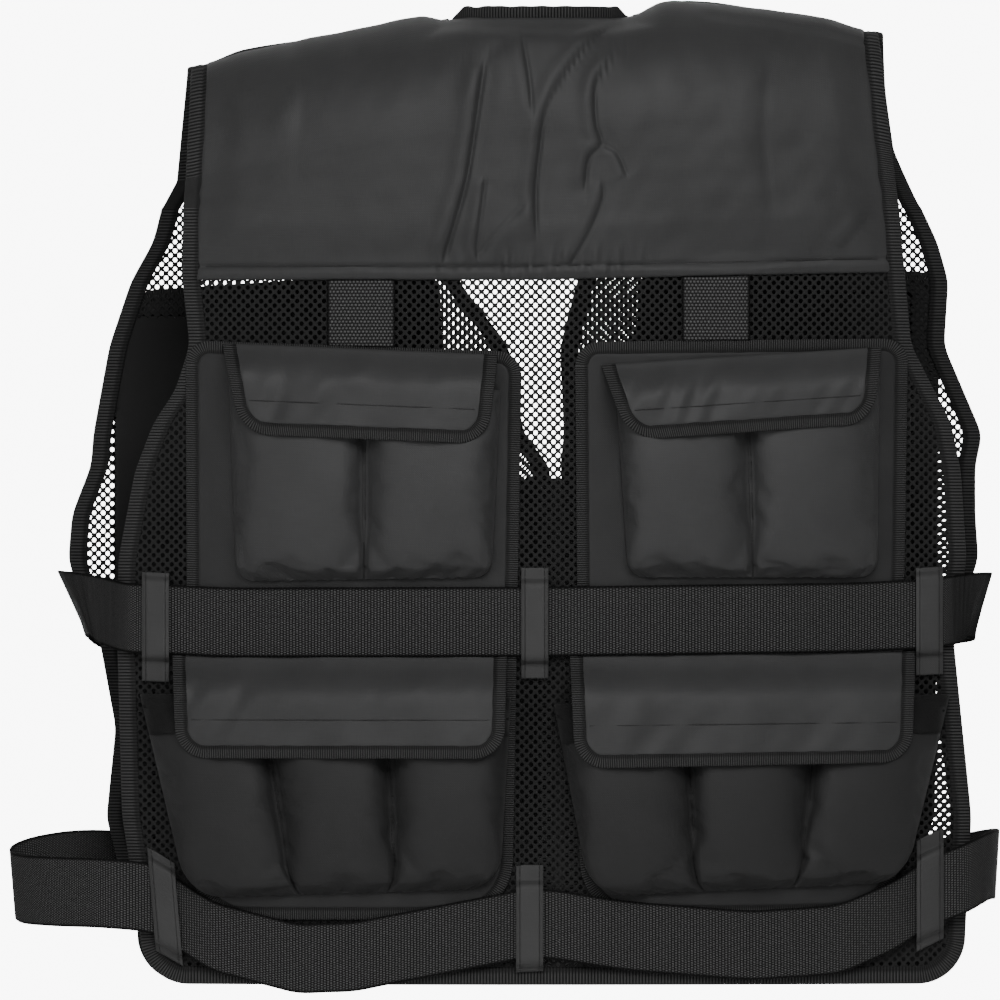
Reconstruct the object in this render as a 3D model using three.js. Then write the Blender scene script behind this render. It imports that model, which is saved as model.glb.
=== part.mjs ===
// Weighted vest, held up by its shoulders. Millimetres, +Z up, the back of the vest faces -Y,
// +X is to the right of someone who looks at the back. The origin is the middle of the shoulder line.
import * as THREE from "three";

// Main sizes. Every table below gives shares of HALF (across) or of LENGTH (down from the shoulders).
const HALF = 228; // half the width across the shoulders
const LENGTH = 650; // shoulders to hem
const DEPTH = 88; // middle of the vest to the back net, and to the front net
const ROUNDING = 0.000754; // how fast the back and the front curve round, per millimetre
const CAP = 70; // height of the curve that takes the yoke over the shoulder
const NECK_HALF = 61; // half the neck opening
const NECK_REACH = 50; // how far the neckline dips towards the back

// Cloth and tape
const NET = 1.5;
const CLOTH = 1.5;
const LAYER = 0.45; // room between one layer and the next
const PAD = 6; // padding of the yoke in its middle
const TAPE = 12; // width of the edge tape
const PANEL_TAPE = 9;
const FLAP_TAPE = 9;
const PANEL_TOP = 16; // corner radii of a pocket panel
const PANEL_FOOT = 40;
const SEAM = 0.5; // room between a tape and the cloth that it edges
const WEBBING = 46; // width of both belts
const WEBBING_THICK = 2;
const TAB_HALF = 22.5; // half the width of the webbing tabs under the yoke
const KEEPER_HALF = 9;
const STRIP_TALL = 27; // fastening strip at the mouth of a lower pocket
const UPPER_FILL = 20; // how far a filled channel of an upper pocket stands out
const LOWER_FILL = 22;
const YOKE_FOOT = 0.274; // the yoke ends here, as a share of the length
const FRONT_YOKE_FOOT = 0.193;
const HEM = 0.99; // the hem of the net, as a share of the length
const HEM_ROUND = 32; // radius of the lower corners

// How far off the net each layer starts
const PANEL_OFF = NET + LAYER;
const POCKET_OFF = PANEL_OFF + CLOTH + LAYER;
const BELT_OFF = PANEL_OFF + CLOTH + LAYER + 0.8;
const OVER_BELT = BELT_OFF + WEBBING_THICK + LAYER;

// Shoulder line: height above or below the origin
const RIDGE = [
  { across: -1.03, height: -0.064 },
  { across: -0.99, height: -0.06 },
  { across: -0.695, height: -0.039 },
  { across: -0.287, height: -0.015 },
  { across: -0.232, height: -0.011 },
  { across: 0.249, height: -0.011 },
  { across: 0.289, height: -0.007 },
  { across: 0.391, height: -0.001 },
  { across: 0.521, height: -0.004 },
  { across: 0.753, height: -0.014 },
  { across: 0.993, height: -0.027 },
  { across: 1.06, height: -0.033 },
];

// Outer edge of the back, tape and all
const BACK_EDGE = [
  { down: 0, left: 1.013, right: 0.984 },
  { down: 0.053, left: 1.019, right: 1.002 },
  { down: 0.112, left: 1.028, right: 1.019 },
  { down: 0.269, left: 1.039, right: 1.059 },
  { down: 0.34, left: 1.016, right: 1.077 },
  { down: 0.387, left: 1.059, right: 1.146 },
  { down: 0.418, left: 1.12, right: 1.193 },
  { down: 0.468, left: 1.175, right: 1.222 },
  { down: 0.558, left: 1.224, right: 1.239 },
  { down: 0.64, left: 1.227, right: 1.201 },
  { down: 0.819, left: 1.213, right: 1.253 },
  { down: 0.941, left: 1.158, right: 1.235 },
];

// Outer edges of the two fronts, and their inner edges: neck, V and closure
const FRONT_EDGE = [
  { down: 0, left: 1.025, right: 0.999, innerLeft: -0.262, innerRight: 0.266 },
  { down: 0.053, left: 1.042, right: 1.007, innerLeft: -0.266, innerRight: 0.266 },
  { down: 0.112, left: 1.059, right: 1.033, innerLeft: -0.272, innerRight: 0.266 },
  { down: 0.193, left: 1.097, right: 1.103, innerLeft: -0.262, innerRight: 0.235 },
  { down: 0.234, left: 1.126, right: 1.158, innerLeft: -0.256, innerRight: 0.17 },
  { down: 0.274, left: 1.19, right: 1.19, innerLeft: -0.235, innerRight: 0.108 },
  { down: 0.34, left: 1.253, right: 1.178, innerLeft: -0.09, innerRight: 0.06 },
  { down: 0.431, left: 1.3, right: 1.288, innerLeft: -0.045, innerRight: 0.07 },
  { down: 0.462, left: 1.306, right: 1.268, innerLeft: 0.03, innerRight: 0.06 },
  { down: 0.512, left: 1.361, right: 1.268, innerLeft: 0.035, innerRight: 0.075 },
  { down: 0.558, left: 1.372, right: 1.277, innerLeft: 0.035, innerRight: 0.075 },
  { down: 0.599, left: 1.337, right: 1.235, innerLeft: 0.035, innerRight: 0.075 },
  { down: 0.64, left: 1.282, right: 1.201, innerLeft: 0.035, innerRight: 0.075 },
  { down: 0.73, left: 1.235, right: 1.215, innerLeft: 0.035, innerRight: 0.075 },
  { down: 0.822, left: 1.262, right: 1.251, innerLeft: 0.035, innerRight: 0.075 },
  { down: 0.941, left: 1.17, right: 1.22, innerLeft: 0.035, innerRight: 0.075 },
];

// Four-cornered pieces. Across: lt, lf left edge at head and foot, rt, rf right edge at head and foot.
// Down: hl, hr the head at left and right, fl, fr the foot. Corner radii in millimetres.
const PANELS = [
  { name: "back_left", lt: -1.028, lf: -1.02, rt: -0.052, rf: -0.081, hl: 0.335, hr: 0.347, fl: 0.924, fr: 0.924 },
  { name: "back_right", lt: 0.101, lf: 0.116, rt: 1.068, rf: 1.042, hl: 0.337, hr: 0.333, fl: 0.924, fr: 0.92 },
  { name: "front_left", lt: -1.19, lf: -1.19, rt: -0.29, rf: -0.269, hl: 0.284, hr: 0.262, fl: 0.871, fr: 0.875 },
  { name: "front_right", lt: 0.29, lf: 0.217, rt: 1.165, rf: 1.15, hl: 0.262, hr: 0.264, fl: 0.875, fr: 0.871 },
];
const UPPER_POCKETS = [
  { name: "back_left", lt: -0.903, lf: -0.88, rt: -0.115, rf: -0.14, hl: 0.372, hr: 0.386, fl: 0.58, fr: 0.576 },
  { name: "back_right", lt: 0.22, lf: 0.255, rt: 0.984, rf: 0.978, hl: 0.386, hr: 0.372, fl: 0.576, fr: 0.576 },
  { name: "front_left", lt: -1.1, lf: -1.09, rt: -0.345, rf: -0.355, hl: 0.323, hr: 0.327, fl: 0.572, fr: 0.572 },
  { name: "front_right", lt: 0.355, lf: 0.345, rt: 1.05, rf: 1.05, hl: 0.305, hr: 0.301, fl: 0.572, fr: 0.572 },
];
const UPPER_FLAPS = [
  { name: "back_left", lt: -0.921, lf: -0.868, rt: -0.122, rf: -0.151, hl: 0.338, hr: 0.35, fl: 0.431, fr: 0.441 },
  { name: "back_right", lt: 0.177, lf: 0.255, rt: 0.99, rf: 0.967, hl: 0.36, hr: 0.342, fl: 0.437, fr: 0.42 },
  { name: "front_left", lt: -1.11, lf: -1.1, rt: -0.34, rf: -0.345, hl: 0.295, hr: 0.299, fl: 0.386, fr: 0.39 },
  { name: "front_right", lt: 0.345, lf: 0.335, rt: 1.06, rf: 1.06, hl: 0.28, hr: 0.276, fl: 0.37, fr: 0.366 },
];
const LOWER_POCKETS = [
  { name: "back_left", lt: -1.161, lf: -1.022, rt: -0.084, rf: -0.116, hl: 0.695, hr: 0.698, fl: 0.902, fr: 0.892 },
  { name: "back_right", lt: 0.04, lf: 0.145, rt: 1.19, rf: 1.059, hl: 0.705, hr: 0.695, fl: 0.9, fr: 0.886 },
  { name: "front_left", lt: -1.2, lf: -1.19, rt: -0.29, rf: -0.31, hl: 0.695, hr: 0.698, fl: 0.832, fr: 0.85 },
  { name: "front_right", lt: 0.24, lf: 0.26, rt: 1.17, rf: 1.14, hl: 0.698, hr: 0.695, fl: 0.85, fr: 0.85 },
];
const LOWER_FLAPS = [
  { name: "back_left", lt: -1.065, lf: -1.054, rt: -0.096, rf: -0.104, hl: 0.662, hr: 0.662, fl: 0.76, fr: 0.76 },
  { name: "back_right", lt: 0.087, lf: 0.101, rt: 1.088, rf: 1.077, hl: 0.662, hr: 0.662, fl: 0.77, fr: 0.764 },
  { name: "front_left", lt: -1.17, lf: -1.165, rt: -0.28, rf: -0.285, hl: 0.662, hr: 0.662, fl: 0.753, fr: 0.755 },
  { name: "front_right", lt: 0.23, lf: 0.235, rt: 1.14, rf: 1.135, hl: 0.662, hr: 0.662, fl: 0.755, fr: 0.753 },
];

// How a flap leaves its panel and clears the pocket: distance from its head, share of the full rise
const FLAP_RISE = [
  { from: 0, rise: 0 },
  { from: 7, rise: 0.35 },
  { from: 16, rise: 0.85 },
  { from: 24, rise: 1 },
  { from: 200, rise: 1 },
];

// Across one channel, and down a pocket: share of the way, share of the full standing out
const CHANNEL = [
  { share: 0, out: 0.1 },
  { share: 0.17, out: 0.78 },
  { share: 0.5, out: 1 },
  { share: 0.83, out: 0.78 },
  { share: 1, out: 0.1 },
];
const POCKET_DOWN = [
  { share: 0, out: 0.5 },
  { share: 0.15, out: 0.82 },
  { share: 0.5, out: 1 },
  { share: 0.9, out: 0.75 },
  { share: 1, out: 0.06 },
];

// Belts where they bow out from one panel to the other: across and out as shares of HALF, lean outwards
const WAIST_LEFT = [
  { across: -1.2, out: -0.16, down: 0.617, lean: 0 },
  { across: -1.29, out: -0.125, down: 0.608, lean: 0.2 },
  { across: -1.34, out: -0.04, down: 0.602, lean: 0.45 },
  { across: -1.35, out: 0.05, down: 0.602, lean: 0.45 },
  { across: -1.325, out: 0.125, down: 0.607, lean: 0.3 },
  { across: -1.23, out: 0.17, down: 0.617, lean: 0 },
];
const WAIST_RIGHT = [
  { across: 1.19, out: 0.164, down: 0.61, lean: 0 },
  { across: 1.275, out: 0.14, down: 0.606, lean: 0.2 },
  { across: 1.262, out: 0.05, down: 0.605, lean: 0.45 },
  { across: 1.262, out: -0.05, down: 0.605, lean: 0.45 },
  { across: 1.25, out: -0.135, down: 0.606, lean: 0.25 },
  { across: 1.19, out: -0.164, down: 0.61, lean: 0 },
];
const HEM_LEFT = [
  { across: -1.12, out: -0.192, down: 0.904, lean: 0 },
  { across: -1.26, out: -0.17, down: 0.898, lean: 0 },
  { across: -1.42, out: -0.13, down: 0.896, lean: 0.05 },
  { across: -1.51, out: -0.06, down: 0.893, lean: 0.1 },
  { across: -1.52, out: 0, down: 0.885, lean: 0.1 },
  { across: -1.46, out: 0.06, down: 0.876, lean: 0.1 },
  { across: -1.34, out: 0.13, down: 0.87, lean: 0.05 },
  { across: -1.2, out: 0.195, down: 0.872, lean: 0 },
];
const HEM_RIGHT = [
  { across: 1.15, out: 0.18, down: 0.88, lean: 0 },
  { across: 1.255, out: 0.16, down: 0.872, lean: 0 },
  { across: 1.31, out: 0.08, down: 0.868, lean: 0.05 },
  { across: 1.32, out: 0, down: 0.869, lean: 0.05 },
  { across: 1.3, out: -0.1, down: 0.87, lean: 0.05 },
  { across: 1.235, out: -0.165, down: 0.882, lean: 0 },
  { across: 1.12, out: -0.192, down: 0.899, lean: 0 },
];
// How low the middle of each belt hangs across the back and the front
const WAIST_SAG = [
  { across: -1.2, back: 0.617, front: 0.617 },
  { across: -0.9, back: 0.622, front: 0.62 },
  { across: 0, back: 0.621, front: 0.622 },
  { across: 0.9, back: 0.617, front: 0.618 },
  { across: 1.2, back: 0.612, front: 0.612 },
];
const HEM_SAG = [
  { across: -1.26, back: 0.898, front: 0.87 },
  { across: -1.12, back: 0.904, front: 0.874 },
  { across: -0.94, back: 0.942, front: 0.9 },
  { across: -0.71, back: 0.963, front: 0.92 },
  { across: -0.55, back: 0.962, front: 0.93 },
  { across: -0.3, back: 0.945, front: 0.94 },
  { across: -0.05, back: 0.928, front: 0.945 },
  { across: 0.03, back: 0.928, front: 0.945 },
  { across: 0.25, back: 0.94, front: 0.94 },
  { across: 0.6, back: 0.95, front: 0.93 },
  { across: 0.85, back: 0.945, front: 0.91 },
  { across: 1, back: 0.925, front: 0.895 },
  { across: 1.12, back: 0.899, front: 0.882 },
  { across: 1.235, back: 0.882, front: 0.874 },
];
const BELT_LAP = 72; // half the overlap of the belt ends at the front

// Keepers: where they stand, how far they reach above and below the belt in millimetres, and how they slant
const KEEPERS = [
  { name: "back_waist_keeper_left", side: -1, across: -1.115, belt: "waist", above: 5, below: 16 },
  { name: "back_waist_keeper_middle", side: -1, across: -0.015, belt: "waist", above: 10, below: 12 },
  { name: "back_waist_keeper_right", side: -1, across: 1.13, belt: "waist", above: 5, below: 15 },
  { name: "back_hem_keeper_left", side: -1, across: -1.087, belt: "hem", above: 8, below: 8, lean: 0.085 },
  { name: "back_hem_keeper_middle", side: -1, across: -0.03, belt: "hem", above: 13, below: 5 },
  { name: "back_hem_keeper_right", side: -1, across: 1.132, belt: "hem", above: 13, below: 8 },
];

function read(table, key, column, at) {
  let i = 1;
  while (i < table.length - 1 && table[i][key] < at) {
    i += 1;
  }
  const a = table[i - 1];
  const b = table[i];
  const t = Math.min(1, Math.max(0, (at - a[key]) / (b[key] - a[key])));
  return a[column] + (b[column] - a[column]) * t;
}

function mix(a, b, t) {
  return a + (b - a) * t;
}

// Distance from the middle plane to the net
function depth(x) {
  return DEPTH - ROUNDING * x * x;
}

function ridge(x) {
  return read(RIDGE, "across", "height", x / HALF) * LENGTH;
}

// A point on the vest: x across, d down from the shoulder line, off outwards from the net
function skin(side, x, d, off) {
  const top = ridge(x);
  if (d >= CAP) {
    const fade = Math.max(0, 1 - (d - CAP) / 60);
    return [x, side * (depth(x) + off), top * fade - d];
  }
  const inNeck = side < 0 && Math.abs(x) < NECK_HALF;
  const reach = inNeck ? NECK_REACH * Math.sqrt(1 - (x / NECK_HALF) ** 2) : 0;
  const run = depth(x) - reach;
  const c = 1 - d / CAP;
  const s = Math.sqrt(1 - c * c);
  const ny = s / run;
  const nz = c / CAP;
  const n = Math.hypot(ny, nz);
  return [x, side * (reach + run * s + (off * ny) / n), top - d + (off * nz) / n];
}

// Rows of the cap, evenly spaced round the curve
function capRows(count) {
  const rows = [];
  for (let i = 0; i < count; i += 1) {
    const angle = (i / count) * (Math.PI / 2);
    rows.push(Math.max(0.001, CAP * (1 - Math.cos(angle))));
  }
  return rows;
}

// Turns points and faces into a mesh whose faces look outwards
function solid(name, points, faces, colour, roughness) {
  let volume = 0;
  const at = (k) => new THREE.Vector3(...points[k]);
  for (const [a, b, c] of faces) {
    volume += at(a).dot(at(b).cross(at(c)));
  }
  const index = [];
  for (const [a, b, c] of faces) {
    index.push(a, volume < 0 ? c : b, volume < 0 ? b : c);
  }
  const geometry = new THREE.BufferGeometry();
  geometry.setAttribute("position", new THREE.Float32BufferAttribute(points.flat(), 3));
  geometry.setIndex(index);
  geometry.computeVertexNormals();
  const material = new THREE.MeshStandardMaterial({ color: colour, roughness: roughness, metalness: 0 });
  const mesh = new THREE.Mesh(geometry, material);
  mesh.name = name;
  vest.add(mesh);
  return mesh;
}

// A closed wall on a grid: at(i, j, face) gives the point, face 0 inside and 1 outside
function wall(name, rows, cols, at, colour, roughness) {
  const points = [];
  const faces = [];
  const id = (i, j, face) => (face * rows + i) * cols + j;
  for (let face = 0; face < 2; face += 1) {
    for (let i = 0; i < rows; i += 1) {
      for (let j = 0; j < cols; j += 1) {
        points.push(at(i, j, face));
      }
    }
  }
  for (let i = 0; i + 1 < rows; i += 1) {
    for (let j = 0; j + 1 < cols; j += 1) {
      const lean = (i + j) % 2 === 0;
      for (let face = 0; face < 2; face += 1) {
        const q = [id(i, j, face), id(i + 1, j, face), id(i + 1, j + 1, face), id(i, j + 1, face)];
        const two = lean
          ? [[q[0], q[1], q[2]], [q[0], q[2], q[3]]]
          : [[q[0], q[1], q[3]], [q[1], q[2], q[3]]];
        for (const [a, b, c] of two) {
          faces.push(face === 1 ? [a, b, c] : [a, c, b]);
        }
      }
    }
  }
  const rim = [];
  for (let j = 0; j + 1 < cols; j += 1) {
    rim.push([0, j + 1, 0, j], [rows - 1, j, rows - 1, j + 1]);
  }
  for (let i = 0; i + 1 < rows; i += 1) {
    rim.push([i, 0, i + 1, 0], [i + 1, cols - 1, i, cols - 1]);
  }
  for (const [i1, j1, i2, j2] of rim) {
    faces.push([id(i1, j1, 1), id(i1, j1, 0), id(i2, j2, 0)]);
    faces.push([id(i1, j1, 1), id(i2, j2, 0), id(i2, j2, 1)]);
  }
  return solid(name, points, faces, colour, roughness);
}

// A closed strip through stations of four corners; a ring when it is joined end to end
function strip(name, stations, ring, colour, roughness) {
  const points = stations.flat();
  const faces = [];
  const count = stations.length;
  for (let i = 0; i < (ring ? count : count - 1); i += 1) {
    const a = i * 4;
    const b = ((i + 1) % count) * 4;
    for (let k = 0; k < 4; k += 1) {
      const m = (k + 1) % 4;
      faces.push([a + k, b + k, b + m], [a + k, b + m, a + m]);
    }
  }
  if (!ring) {
    const e = (count - 1) * 4;
    faces.push([0, 1, 2], [0, 2, 3], [e, e + 2, e + 1], [e, e + 3, e + 2]);
  }
  return solid(name, points, faces, colour, roughness);
}

const NYLON = 0x37373a;
const NYLON_DARK = 0x2b2b2d;
const NET_BLACK = 0x1e1e1f;
const TAPE_BLACK = 0x242425;
const WEB_BLACK = 0x2a2a2b;

const vest = new THREE.Group();
vest.name = "weighted_vest";

// Columns between two edges: inner ones evenly spaced, none more than 25 mm apart
function columns(left, right, count) {
  return Array.from({ length: count }, (_, j) => mix(left, right, j / (count - 1)));
}

// Columns of the back yoke, closer together where the neckline turns
const YOKE_COLUMNS = [
  -1, -0.86, -0.72, -0.58, -0.44, -0.33, -0.28, -0.25, -0.18, -0.09, 0,
  0.09, 0.18, 0.25, 0.28, 0.33, 0.44, 0.58, 0.72, 0.86, 1,
];

function yokeFoot(side, x) {
  const share = x / HALF;
  return side < 0 ? (YOKE_FOOT - 0.008 * Math.max(0, share)) * LENGTH : FRONT_YOKE_FOOT * LENGTH;
}

// Back yoke: over the shoulders and down to its straight foot
function backYoke() {
  const cap = capRows(5);
  const rows = [...cap, 0.112 * LENGTH, CAP + 56, "hem", "foot"];
  const at = (i, j, face) => {
    const share = YOKE_COLUMNS[j];
    let d = rows[i];
    const nominal = typeof d === "number" ? d : YOKE_FOOT * LENGTH - (d === "hem" ? 9 : 0);
    const edge = share < 0 ? "left" : "right";
    const reach = read(BACK_EDGE, "down", edge, nominal / LENGTH) * HALF - TAPE - 2 * SEAM;
    const x = share * reach;
    if (d === "foot") {
      d = yokeFoot(-1, x);
    }
    if (d === "hem") {
      d = yokeFoot(-1, x) - 9;
    }
    const side = Math.min(1, (1 - Math.abs(share)) / 0.2 + 0.35);
    const foot = rows[i] === "foot" ? 0.4 : rows[i] === "hem" ? 0.5 : 1;
    const collar = Math.abs(x) < NECK_HALF && d < 5 ? 0.2 : 1;
    const off = PANEL_OFF + (face === 1 ? PAD * Math.min(side, foot, collar) : 0);
    return skin(-1, x, d, off);
  };
  wall("back_yoke", rows.length, YOKE_COLUMNS.length, at, NYLON, 0.5);
}

// Front yokes: the same over the shoulders, shorter
function frontYoke(name, edge, inner) {
  const cap = capRows(4);
  const rows = [...cap, 0.112 * LENGTH, 0.193 * LENGTH];
  const cols = 8;
  const at = (i, j, face) => {
    const d = rows[i];
    const sign = edge === "left" ? -1 : 1;
    const outer = sign * (read(FRONT_EDGE, "down", edge, d / LENGTH) * HALF - TAPE - SEAM);
    const near = read(FRONT_EDGE, "down", inner, d / LENGTH) * HALF + sign * (TAPE + SEAM);
    const x = mix(near, outer, j / (cols - 1));
    const side = Math.min(1, 0.4 + 4 * Math.min(j / (cols - 1), 1 - j / (cols - 1)));
    const foot = i === rows.length - 1 ? 0.4 : 1;
    const off = PANEL_OFF + (face === 1 ? PAD * Math.min(side, foot) : 0);
    return skin(1, x, d, off);
  };
  wall(name, rows.length, cols, at, NYLON, 0.5);
}

// A net follows its edge tables row by row, and turns in at the lower corners with the tape
function netRows(table, from) {
  const rows = table.filter((row) => row.down >= from).map((row) => ({ d: row.down * LENGTH, cut: 0 }));
  const round = HEM_ROUND - TAPE - SEAM;
  const last = rows.at(-1).d;
  for (const angle of [Math.PI / 6, Math.PI / 2]) {
    rows.push({ d: last + round * Math.sin(angle), cut: round * (1 - Math.cos(angle)) });
  }
  return rows;
}

function backNet() {
  const rows = netRows(BACK_EDGE, 0.269);
  const cols = 21;
  const at = (i, j, face) => {
    const { d, cut } = rows[i];
    const left = -(read(BACK_EDGE, "down", "left", d / LENGTH) * HALF - TAPE - SEAM - cut);
    const right = read(BACK_EDGE, "down", "right", d / LENGTH) * HALF - TAPE - SEAM - cut;
    return skin(-1, mix(left, right, j / (cols - 1)), d, face * NET);
  };
  wall("back_net", rows.length, cols, at, NET_BLACK, 0.8);
}

function frontNet(name, edge, inner) {
  const rows = netRows(FRONT_EDGE, 0.193);
  const cols = 12;
  const sign = edge === "left" ? -1 : 1;
  const at = (i, j, face) => {
    const d = rows[i].d + (i === 0 ? SEAM : 0);
    const outer = sign * (read(FRONT_EDGE, "down", edge, d / LENGTH) * HALF - TAPE - SEAM - rows[i].cut);
    const near = read(FRONT_EDGE, "down", inner, d / LENGTH) * HALF + sign * (TAPE + SEAM);
    return skin(1, mix(near, outer, j / (cols - 1)), d, face * NET);
  };
  wall(name, rows.length, cols, at, NET_BLACK, 0.8);
}

// Edge tape: each station has its outer point x, d and its inner point ix, id
function edgeTape(name, side, path) {
  const stations = path.map((p) => {
    const foot = (side < 0 ? YOKE_FOOT : FRONT_YOKE_FOOT) * LENGTH;
    const low = p.d < foot ? 0.6 : -0.2;
    const high = p.d < foot ? 4.4 : NET + 0.2;
    return [
      skin(side, p.x, p.d, low),
      skin(side, p.ix, p.id, low),
      skin(side, p.ix, p.id, high),
      skin(side, p.x, p.d, high),
    ];
  });
  strip(name, stations, false, TAPE_BLACK, 0.75);
}

// Down one edge: sign says on which side the vest lies
function sidePath(table, column, sign, inward) {
  const cap = capRows(4);
  const rows = [...cap, ...table.map((row) => row.down * LENGTH).filter((d) => d > CAP)];
  return rows.map((d) => {
    const x = sign * read(table, "down", column, d / LENGTH) * HALF;
    return { x: x, d: d, ix: x + inward * TAPE, id: d };
  });
}

// Round a lower corner, from the side to the hem
function cornerPath(x, sign) {
  const middle = x - sign * HEM_ROUND;
  const level = HEM * LENGTH - HEM_ROUND;
  const small = HEM_ROUND - TAPE;
  return [30, 60, 90].map((degrees) => {
    const c = Math.cos((degrees * Math.PI) / 180);
    const s = Math.sin((degrees * Math.PI) / 180);
    return {
      x: middle + sign * HEM_ROUND * c,
      d: level + HEM_ROUND * s,
      ix: middle + sign * small * c,
      id: level + small * s,
    };
  });
}

function hemPath(from, to, count) {
  const foot = HEM * LENGTH;
  return columns(from, to, count).map((x) => ({ x: x, d: foot, ix: x, id: foot - TAPE }));
}

function backTape() {
  const left = sidePath(BACK_EDGE, "left", -1, 1);
  const right = sidePath(BACK_EDGE, "right", 1, -1);
  const xl = left.at(-1).x;
  const xr = right.at(-1).x;
  const hem = hemPath(xl + HEM_ROUND + 30, xr - HEM_ROUND - 30, 14);
  const path = [...left, ...cornerPath(xl, -1), ...hem, ...cornerPath(xr, 1).reverse(), ...right.reverse()];
  edgeTape("back_edge_tape", -1, path);
}

function frontTape(name, edge, inner) {
  const sign = edge === "left" ? -1 : 1;
  const outer = sidePath(FRONT_EDGE, edge, sign, -sign);
  const near = sidePath(FRONT_EDGE, inner, 1, sign);
  const xo = outer.at(-1).x;
  const xi = near.at(-1).x;
  const foot = HEM * LENGTH;
  const hem = hemPath(xo - sign * (HEM_ROUND + 30), xi + sign * 40, 7);
  const end = [{ x: xi, d: foot, ix: xi + sign * TAPE, id: foot - TAPE }];
  const path = [...outer, ...cornerPath(xo, sign), ...hem, ...end, ...near.reverse()];
  edgeTape(name, 1, path);
}

// Neck tape, along the neckline of the back yoke, standing on its top edge
function neckTape() {
  const shares = [-0.985, -0.95, -0.88, -0.76, -0.6, -0.4, -0.2, 0, 0.2, 0.4, 0.6, 0.76, 0.88, 0.95, 0.985];
  const stations = shares.map((share) => {
    const x = share * (NECK_HALF - 1.5);
    const y = -NECK_REACH * Math.sqrt(1 - share * share) * 0.94;
    const nx = x / (NECK_HALF * NECK_HALF);
    const ny = y / (NECK_REACH * NECK_REACH);
    const n = Math.hypot(nx, ny) || 1;
    const inx = (-2.4 * nx) / n;
    const iny = (-2.4 * ny) / n;
    const low = ridge(x) + 1;
    const high = ridge(x) + 10.5;
    return [
      [x, y, low],
      [x + inx, y + iny, low],
      [x + inx, y + iny, high],
      [x, y, high],
    ];
  });
  strip("neck_tape", stations, false, TAPE_BLACK, 0.75);
}

// A four-cornered piece: a across from its left edge, b down from its head, both in millimetres
function framed(row) {
  const width = ((row.rt - row.lt + row.rf - row.lf) / 2) * HALF;
  const tall = ((row.fl - row.hl + row.fr - row.hr) / 2) * LENGTH;
  const side = row.name.startsWith("back") ? -1 : 1;
  const place = (a, b, off) => {
    const u = a / width;
    const v = b / tall;
    const x = mix(mix(row.lt, row.rt, u), mix(row.lf, row.rf, u), v) * HALF;
    const d = mix(mix(row.hl, row.hr, u), mix(row.fl, row.fr, u), v) * LENGTH;
    return skin(side, x, d, off);
  };
  return { width, tall, side, place };
}

// How much a rounded corner takes off each side at a distance from the end
function rounding(from, radius) {
  return from >= radius ? 0 : radius - Math.sqrt(Math.max(0, radius * radius - (radius - from) ** 2));
}

function roundedCore(name, row, inset, roundTop, roundFoot, extraRows, cols, height, thick, colour) {
  const f = framed(row);
  const top = Math.max(1, roundTop - inset.top);
  const foot = Math.max(1, roundFoot - inset.foot);
  const tall = f.tall - inset.top - inset.foot;
  const curve = (radius, count) => {
    const list = [];
    for (let k = 0; k <= count; k += 1) {
      list.push(radius * (1 - Math.cos((k / count) * (Math.PI / 2))));
    }
    return list;
  };
  const heads = roundTop > 5 ? curve(top, 2) : [0];
  const feet = curve(foot, 3).map((b) => tall - b);
  const rows = [...heads, ...extraRows.filter((b) => b > (heads.at(-1) ?? 0) + 1 && b < tall - foot - 1), ...feet.reverse()];
  const at = (i, j, face) => {
    const b = rows[i];
    const cutTop = roundTop > 5 ? rounding(b, top) : 0;
    const cut = Math.max(cutTop, rounding(tall - b, foot));
    const a = mix(inset.side + cut, f.width - inset.side - cut, j / (cols - 1));
    const fullB = b + inset.top;
    return f.place(a, fullB, height(fullB) + face * thick);
  };
  wall(name, rows.length, cols, at, colour, 0.55);
}

// Tape round a four-cornered piece: a full ring, or three sides of it
function roundTape(name, row, width, roundTop, roundFoot, whole, height, low, high, perSide) {
  const f = framed(row);
  const w = f.width;
  const h = f.tall;
  const foot = roundFoot;
  const top = whole ? roundTop : 0;
  const list = [];
  const run = (from, to, count) => {
    for (let k = 1; k < count; k += 1) {
      list.push(from.map((value, m) => mix(value, to[m], k / count)));
    }
  };
  const corner = (ca, cb, radius, start) => {
    const near = radius - width;
    const steps = radius > 30 ? 3 : whole ? 2 : 3;
    for (let k = 0; k <= steps; k += 1) {
      const angle = start - (k / steps) * (Math.PI / 2);
      const c = Math.cos(angle);
      const s = Math.sin(angle);
      list.push([ca + radius * c, cb + radius * s, ca + near * c, cb + near * s]);
    }
  };
  if (!whole) {
    list.push([0, 0, width, 0]);
  }
  run([0, top, width, top], [0, h - foot, width, h - foot], whole ? 3 : 4);
  corner(foot, h - foot, foot, Math.PI);
  run([foot, h, foot, h - width], [w - foot, h, w - foot, h - width], perSide);
  corner(w - foot, h - foot, foot, Math.PI / 2);
  run([w, h - foot, w - width, h - foot], [w, top, w - width, top], whole ? 3 : 4);
  if (whole) {
    corner(w - top, top, top, 0);
    run([w - top, 0, w - top, width], [top, 0, top, width], perSide);
    corner(top, top, top, -Math.PI / 2);
  } else {
    list.push([w, 0, w - width, 0]);
  }
  const stations = list.map(([oa, ob, ia, ib]) => [
    f.place(oa, ob, height(ob) + low),
    f.place(ia, ib, height(ib) + low),
    f.place(ia, ib, height(ib) + high),
    f.place(oa, ob, height(ob) + high),
  ]);
  strip(name, stations, whole, TAPE_BLACK, 0.75);
}

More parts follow.
